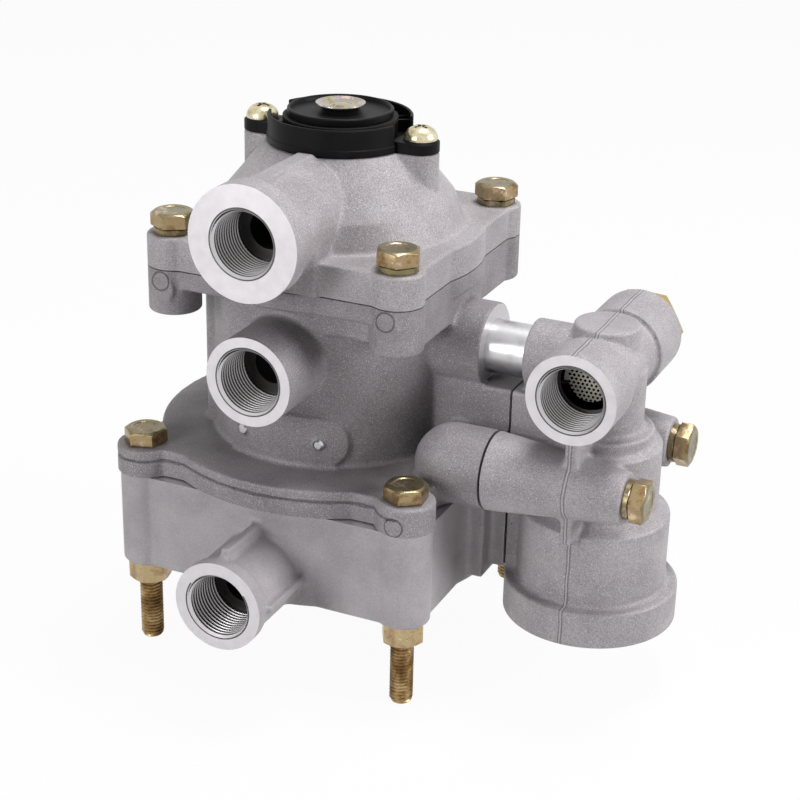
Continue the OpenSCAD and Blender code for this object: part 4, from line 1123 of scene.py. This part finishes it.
for inner, outer in ((FLAP_R - 2 * MM, FLAP_R - 0.01 * MM), (RIVET_HOLE, HUB_R)):
    wall = [(inner, MM), (outer, MM), (outer, FLAP_Z), (inner, FLAP_Z)]
    welded(moulding, arc(wall, 0, TURN, ROUND), PLASTIC)
rib = block((FLAP_R - MM, -RIB_T / 2, MM), (SKIRT_R - MM, RIB_T / 2, SKIRT_H - 2.6 * MM))
for k in range(RIBS):
    angle = TURN * (k + 0.5) / RIBS
    if abs(math.sin(angle)) > math.sin(SKIRT_GAP) + 0.04:
        welded(moulding, spun(rib, angle), PLASTIC)
ear = [(0, 0), (EAR_R - 0.3 * MM, 0), (EAR_R, 0.3 * MM), (EAR_R, EAR_T - 0.6 * MM),
       (EAR_R - 0.6 * MM, EAR_T), (0, EAR_T)]
ear_half = EAR_R - 0.2 * MM
for s in (-1, 1):
    welded(moulding, placed(turned(ear, 48), (s * VENT_SPOTS, 0, 0)), PLASTIC)
    root_x, tip_x = sorted((s * (SKIRT_R - 3 * MM), s * VENT_SPOTS))
    welded(moulding, block((root_x, -ear_half, 0), (tip_x, ear_half, EAR_T - 0.3 * MM)), PLASTIC)
screw_hole = rod(VENT_HOLE + 0.3 * MM, -MM, EAR_T + MM, 32)
for s in (-1, 1):
    machined(moulding, placed(screw_hole, (s * VENT_SPOTS, 0, 0)), PLASTIC)
copied("vent_body", shaded(moulding), [at((0, 0, DOME_Z))], "vent_base")

# %% The vent's cup and rivet
CUP_R = high("vent_cup").x
CUP_LOW = low("vent_cup").z - DOME_Z
CUP_TOP = high("vent_cup").z - DOME_Z
cup_section = [
    (RIVET_HOLE, CUP_LOW), (CUP_R - 0.6 * MM, CUP_LOW), (CUP_R - 0.1 * MM, CUP_LOW + 0.3 * MM),
    (CUP_R, CUP_LOW + 0.8 * MM), (CUP_R, CUP_TOP - 0.35 * MM), (CUP_R - 0.35 * MM, CUP_TOP),
    (CUP_R - 0.9 * MM, CUP_TOP), (CUP_R - 1.2 * MM, CUP_TOP - 0.4 * MM),
    (CUP_R - 1.5 * MM, CUP_TOP - 1.3 * MM), (CUP_R - 2.2 * MM, CUP_TOP - 1.5 * MM),
    (8.4 * MM, CUP_TOP - 1.4 * MM), (7.2 * MM, CUP_TOP - 1.0 * MM), (6.4 * MM, CUP_TOP - 0.2 * MM),
    (6.0 * MM, CUP_TOP), (RIVET_HOLE, CUP_TOP)]
cup_disc = piece("cup", arc(cup_section, 0, TURN, 128), PLASTIC)
copied("vent_cap", shaded(cup_disc), [at((0, 0, DOME_Z))], "vent_cup")
rivet_section = [(0, -12.0), (4.1, -12.0), (4.1, -11.2), (1.79, -11.2), (1.79, 0), (5.6, 0), (6.4, 0.2),
                 (8.0, 0.95), (8.28, 1.25), (8.25, 1.5), (8.0, 1.6), (7.6, 1.52), (6.6, 1.0), (5.6, 0.62),
                 (4.4, 0.5), (3.6, 0.62), (2.6, 0.95), (1.4, 1.15), (0, 1.2)]
rivet = piece("rivet", turned([(r * MM, z * MM) for r, z in rivet_section], 96), RIVET)
copied("vent_cap_rivet", shaded(rivet), [at((0, 0, DOME_Z + CUP_TOP))], "vent_rivet")

# %% The vent's screws
screw_section = [(0, -12), (1.9, -12), (2.4, -11.4), (2.4, 0), (5.2, 0), (5.45, 0.2), (5.5, 0.6),
                 (5.45, 1.1), (5.15, 2.1), (4.5, 3.1), (3.5, 3.9), (2.2, 4.4), (0, 4.58)]
screw = piece("screw", turned([(r * MM, z * MM) for r, z in screw_section], 64), SCREW)
slot_cut = block((-2.7 * MM, -0.6 * MM, 2.4 * MM), (2.7 * MM, 0.6 * MM, 6 * MM))
for angle in (0, math.pi / 2):
    machined(screw, spun(slot_cut, angle), SCREW)
machined(screw, turned([(0, 1.8 * MM), (0.3 * MM, 1.8 * MM), (1.6 * MM, 6 * MM), (0, 6 * MM)], 24), SCREW)
copied("vent_cross_screws", shaded(screw), [at((s * VENT_SPOTS, 0, DOME_Z + EAR_T), 0.5 + 0.6 * s)
                                            for s in (-1, 1)], "vent_screws")

# %% [markdown]
# ## The strainer
#
# Behind the side port sits a pressed strainer that is all small holes. The holes are drilled on a triangular
# pattern, close enough that from the port it reads as a mesh. It slides back when it is clogged, so it rides
# on a body of its own.

# %% Strainer
HOLE_PITCH = 1.5 * MM
HOLE_R = 0.46 * MM
HOLE_ROWS = 6
STRAINER_R = 9.2 * MM
STRAINER_WALL = 0.8 * MM
STRAINER_END = low("strainer").y
STRAINER_RIM = high("strainer").z - TUBE.z
strainer_depth = high("strainer").y - STRAINER_END
rim_start = strainer_depth - 2 * MM
strainer_in = STRAINER_R - STRAINER_WALL
cup = [(0, 0), (STRAINER_R - 0.6 * MM, 0), (STRAINER_R, 0.6 * MM), (STRAINER_R, rim_start),
       (STRAINER_RIM, rim_start), (STRAINER_RIM, strainer_depth), (strainer_in, strainer_depth),
       (strainer_in, STRAINER_WALL), (0, STRAINER_WALL)]
strainer_solid = placed(turned(cup), (BARREL.x, STRAINER_END, TUBE.z), "Y")
strainer = piece("strainer_cup", strainer_solid, MESH)
drills = []
rows = range(-HOLE_ROWS, HOLE_ROWS + 1)
for i in rows:
    for j in rows:
        x, z = HOLE_PITCH * (i + j / 2), HOLE_PITCH * j * math.sqrt(3) / 2
        if math.hypot(x, z) < strainer_in - 1 * MM:
            drills.append(placed(rod(HOLE_R, -MM, 2 * MM, 12),
                                 (BARREL.x + x, STRAINER_END, TUBE.z + z), "Y"))
machined(strainer, joined(drills), MESH)
worn(shaded(strainer), "strainer", "strainer")
print(len(drills), "holes")

# %% [markdown]
# ## What stays as the frame has it
#
# The tube, the seals, the springs, the pistons and the valves already have their true shapes, and most lie
# inside. They only need their metals and rubbers.

# %% Dress the carried nodes
DRESS = {
    RUBBER: ["joint_seal_lower", "joint_seal_upper", "side_gasket", "lower_pad_seal", "tube_seals",
             "plug_seal", "check_seal", "cap_seal", "control_ring", "emergency_rings", "inlet_rubber",
             "guide_seal", "vent_flap"],
    STEEL: ["transfer_tube", "plate_pins", "cap_clip"],
    SPRING: ["strainer_spring", "check_spring", "control_spring", "emergency_spring", "inlet_spring"],
    BRASS: ["strainer_plug", "check_valve", "inlet_valve", "valve_guide"],
    ALLOY: ["barrel_cap", "control_piston", "emergency_piston"]}
for material, nodes in DRESS.items():
    for node in nodes:
        carried = frame["nodes"][node]
        if not carried.data.materials:
            carried.data.materials.append(material)
        for slot_number in range(len(carried.data.materials)):
            carried.material_slots[slot_number].material = material
    print(material.name, "on", len(nodes), "nodes")

# %% [markdown]
# ## The studio
#
# The photograph is a catalogue picture on a white sweep. Three soft boxes light it: a weak one in front on
# the left, one at the right, and the strongest above and slightly behind, which picks out the flange tops
# and the dome. The pale floor sends light back up into the undersides. What the camera, metal or glass sees
# behind the part is plain white, through Light Path, and costs the part no extra light.

# %% Floor, world and lamps
FLOOR_HALF = 8
BACKDROP_SHARE = 0.95
LAMP_SIZE = 0.4
LAMPS = [("key_lamp", (-0.4, -1.0, 0.4), 6.2), ("side_lamp", (1.1, 0.15, 0.5), 9.5),
         ("top_lamp", (0.15, 0.2, 1.3), 12.5)]
AIM_AT = Vector((0.03, 0, 0.1))


def backdrop_share(look):
    """1 where a camera, glossy or transmission ray sees the white studio."""
    camera_ray, glossy_ray, glass_ray = [look.node("LightPath", out=out) for out in (0, 3, 6)]
    return camera_ray + glossy_ray + glass_ray


floor_look = Look(bpy.data.materials.new("pale_floor"))
floor_grain = floor_look.noise(30 * MM, 3)
lit = floor_look.node("BsdfDiffuse", None, {
    "Color": floor_look.mix(floor_grain, tint(222, 222, 222), tint(228, 228, 228))})
glow = floor_look.node("Emission", None, {"Color": (1, 1, 1, 1), "Strength": 1.0})
share = backdrop_share(floor_look) * BACKDROP_SHARE
floor_look.node("OutputMaterial", None, {
    "Surface": floor_look.node("MixShader", None, {0: share, 1: lit, 2: glow})})
corners = [(x * FLOOR_HALF, y * FLOOR_HALF, 0) for x, y in ((-1, -1), (1, -1), (1, 1), (-1, 1))]
floor = piece("floor", (corners, [[0, 1, 2, 3]]), floor_look.owner)

bpy.context.scene.view_settings.view_transform = "Standard"
world = bpy.data.worlds.new("studio")
bpy.context.scene.world = world
sky = Look(world)
height = sky.node("SeparateXYZ", None, {0: sky.node("TexCoord", out=0)}, 2)
air = sky.mix(height.between(-0.2, 0.9), tint(36, 36, 37), tint(70, 70, 71))
sky.node("OutputWorld", None, {"Surface": sky.node("Background", None, {
    "Color": sky.mix(backdrop_share(sky), air, (1, 1, 1, 1)), "Strength": 1.0})})

for name, place, watts in LAMPS:
    lamp = bpy.data.lights.new(name, "AREA")
    lamp.size = LAMP_SIZE
    lamp.energy = watts
    holder = bpy.data.objects.new(name, lamp)
    holder.location = place
    towards = AIM_AT - Vector(place)
    holder.rotation_euler = towards.to_track_quat("-Z", "Y").to_euler()
    bpy.context.scene.collection.objects.link(holder)
print("lamps:", [name for name, *_ in LAMPS])
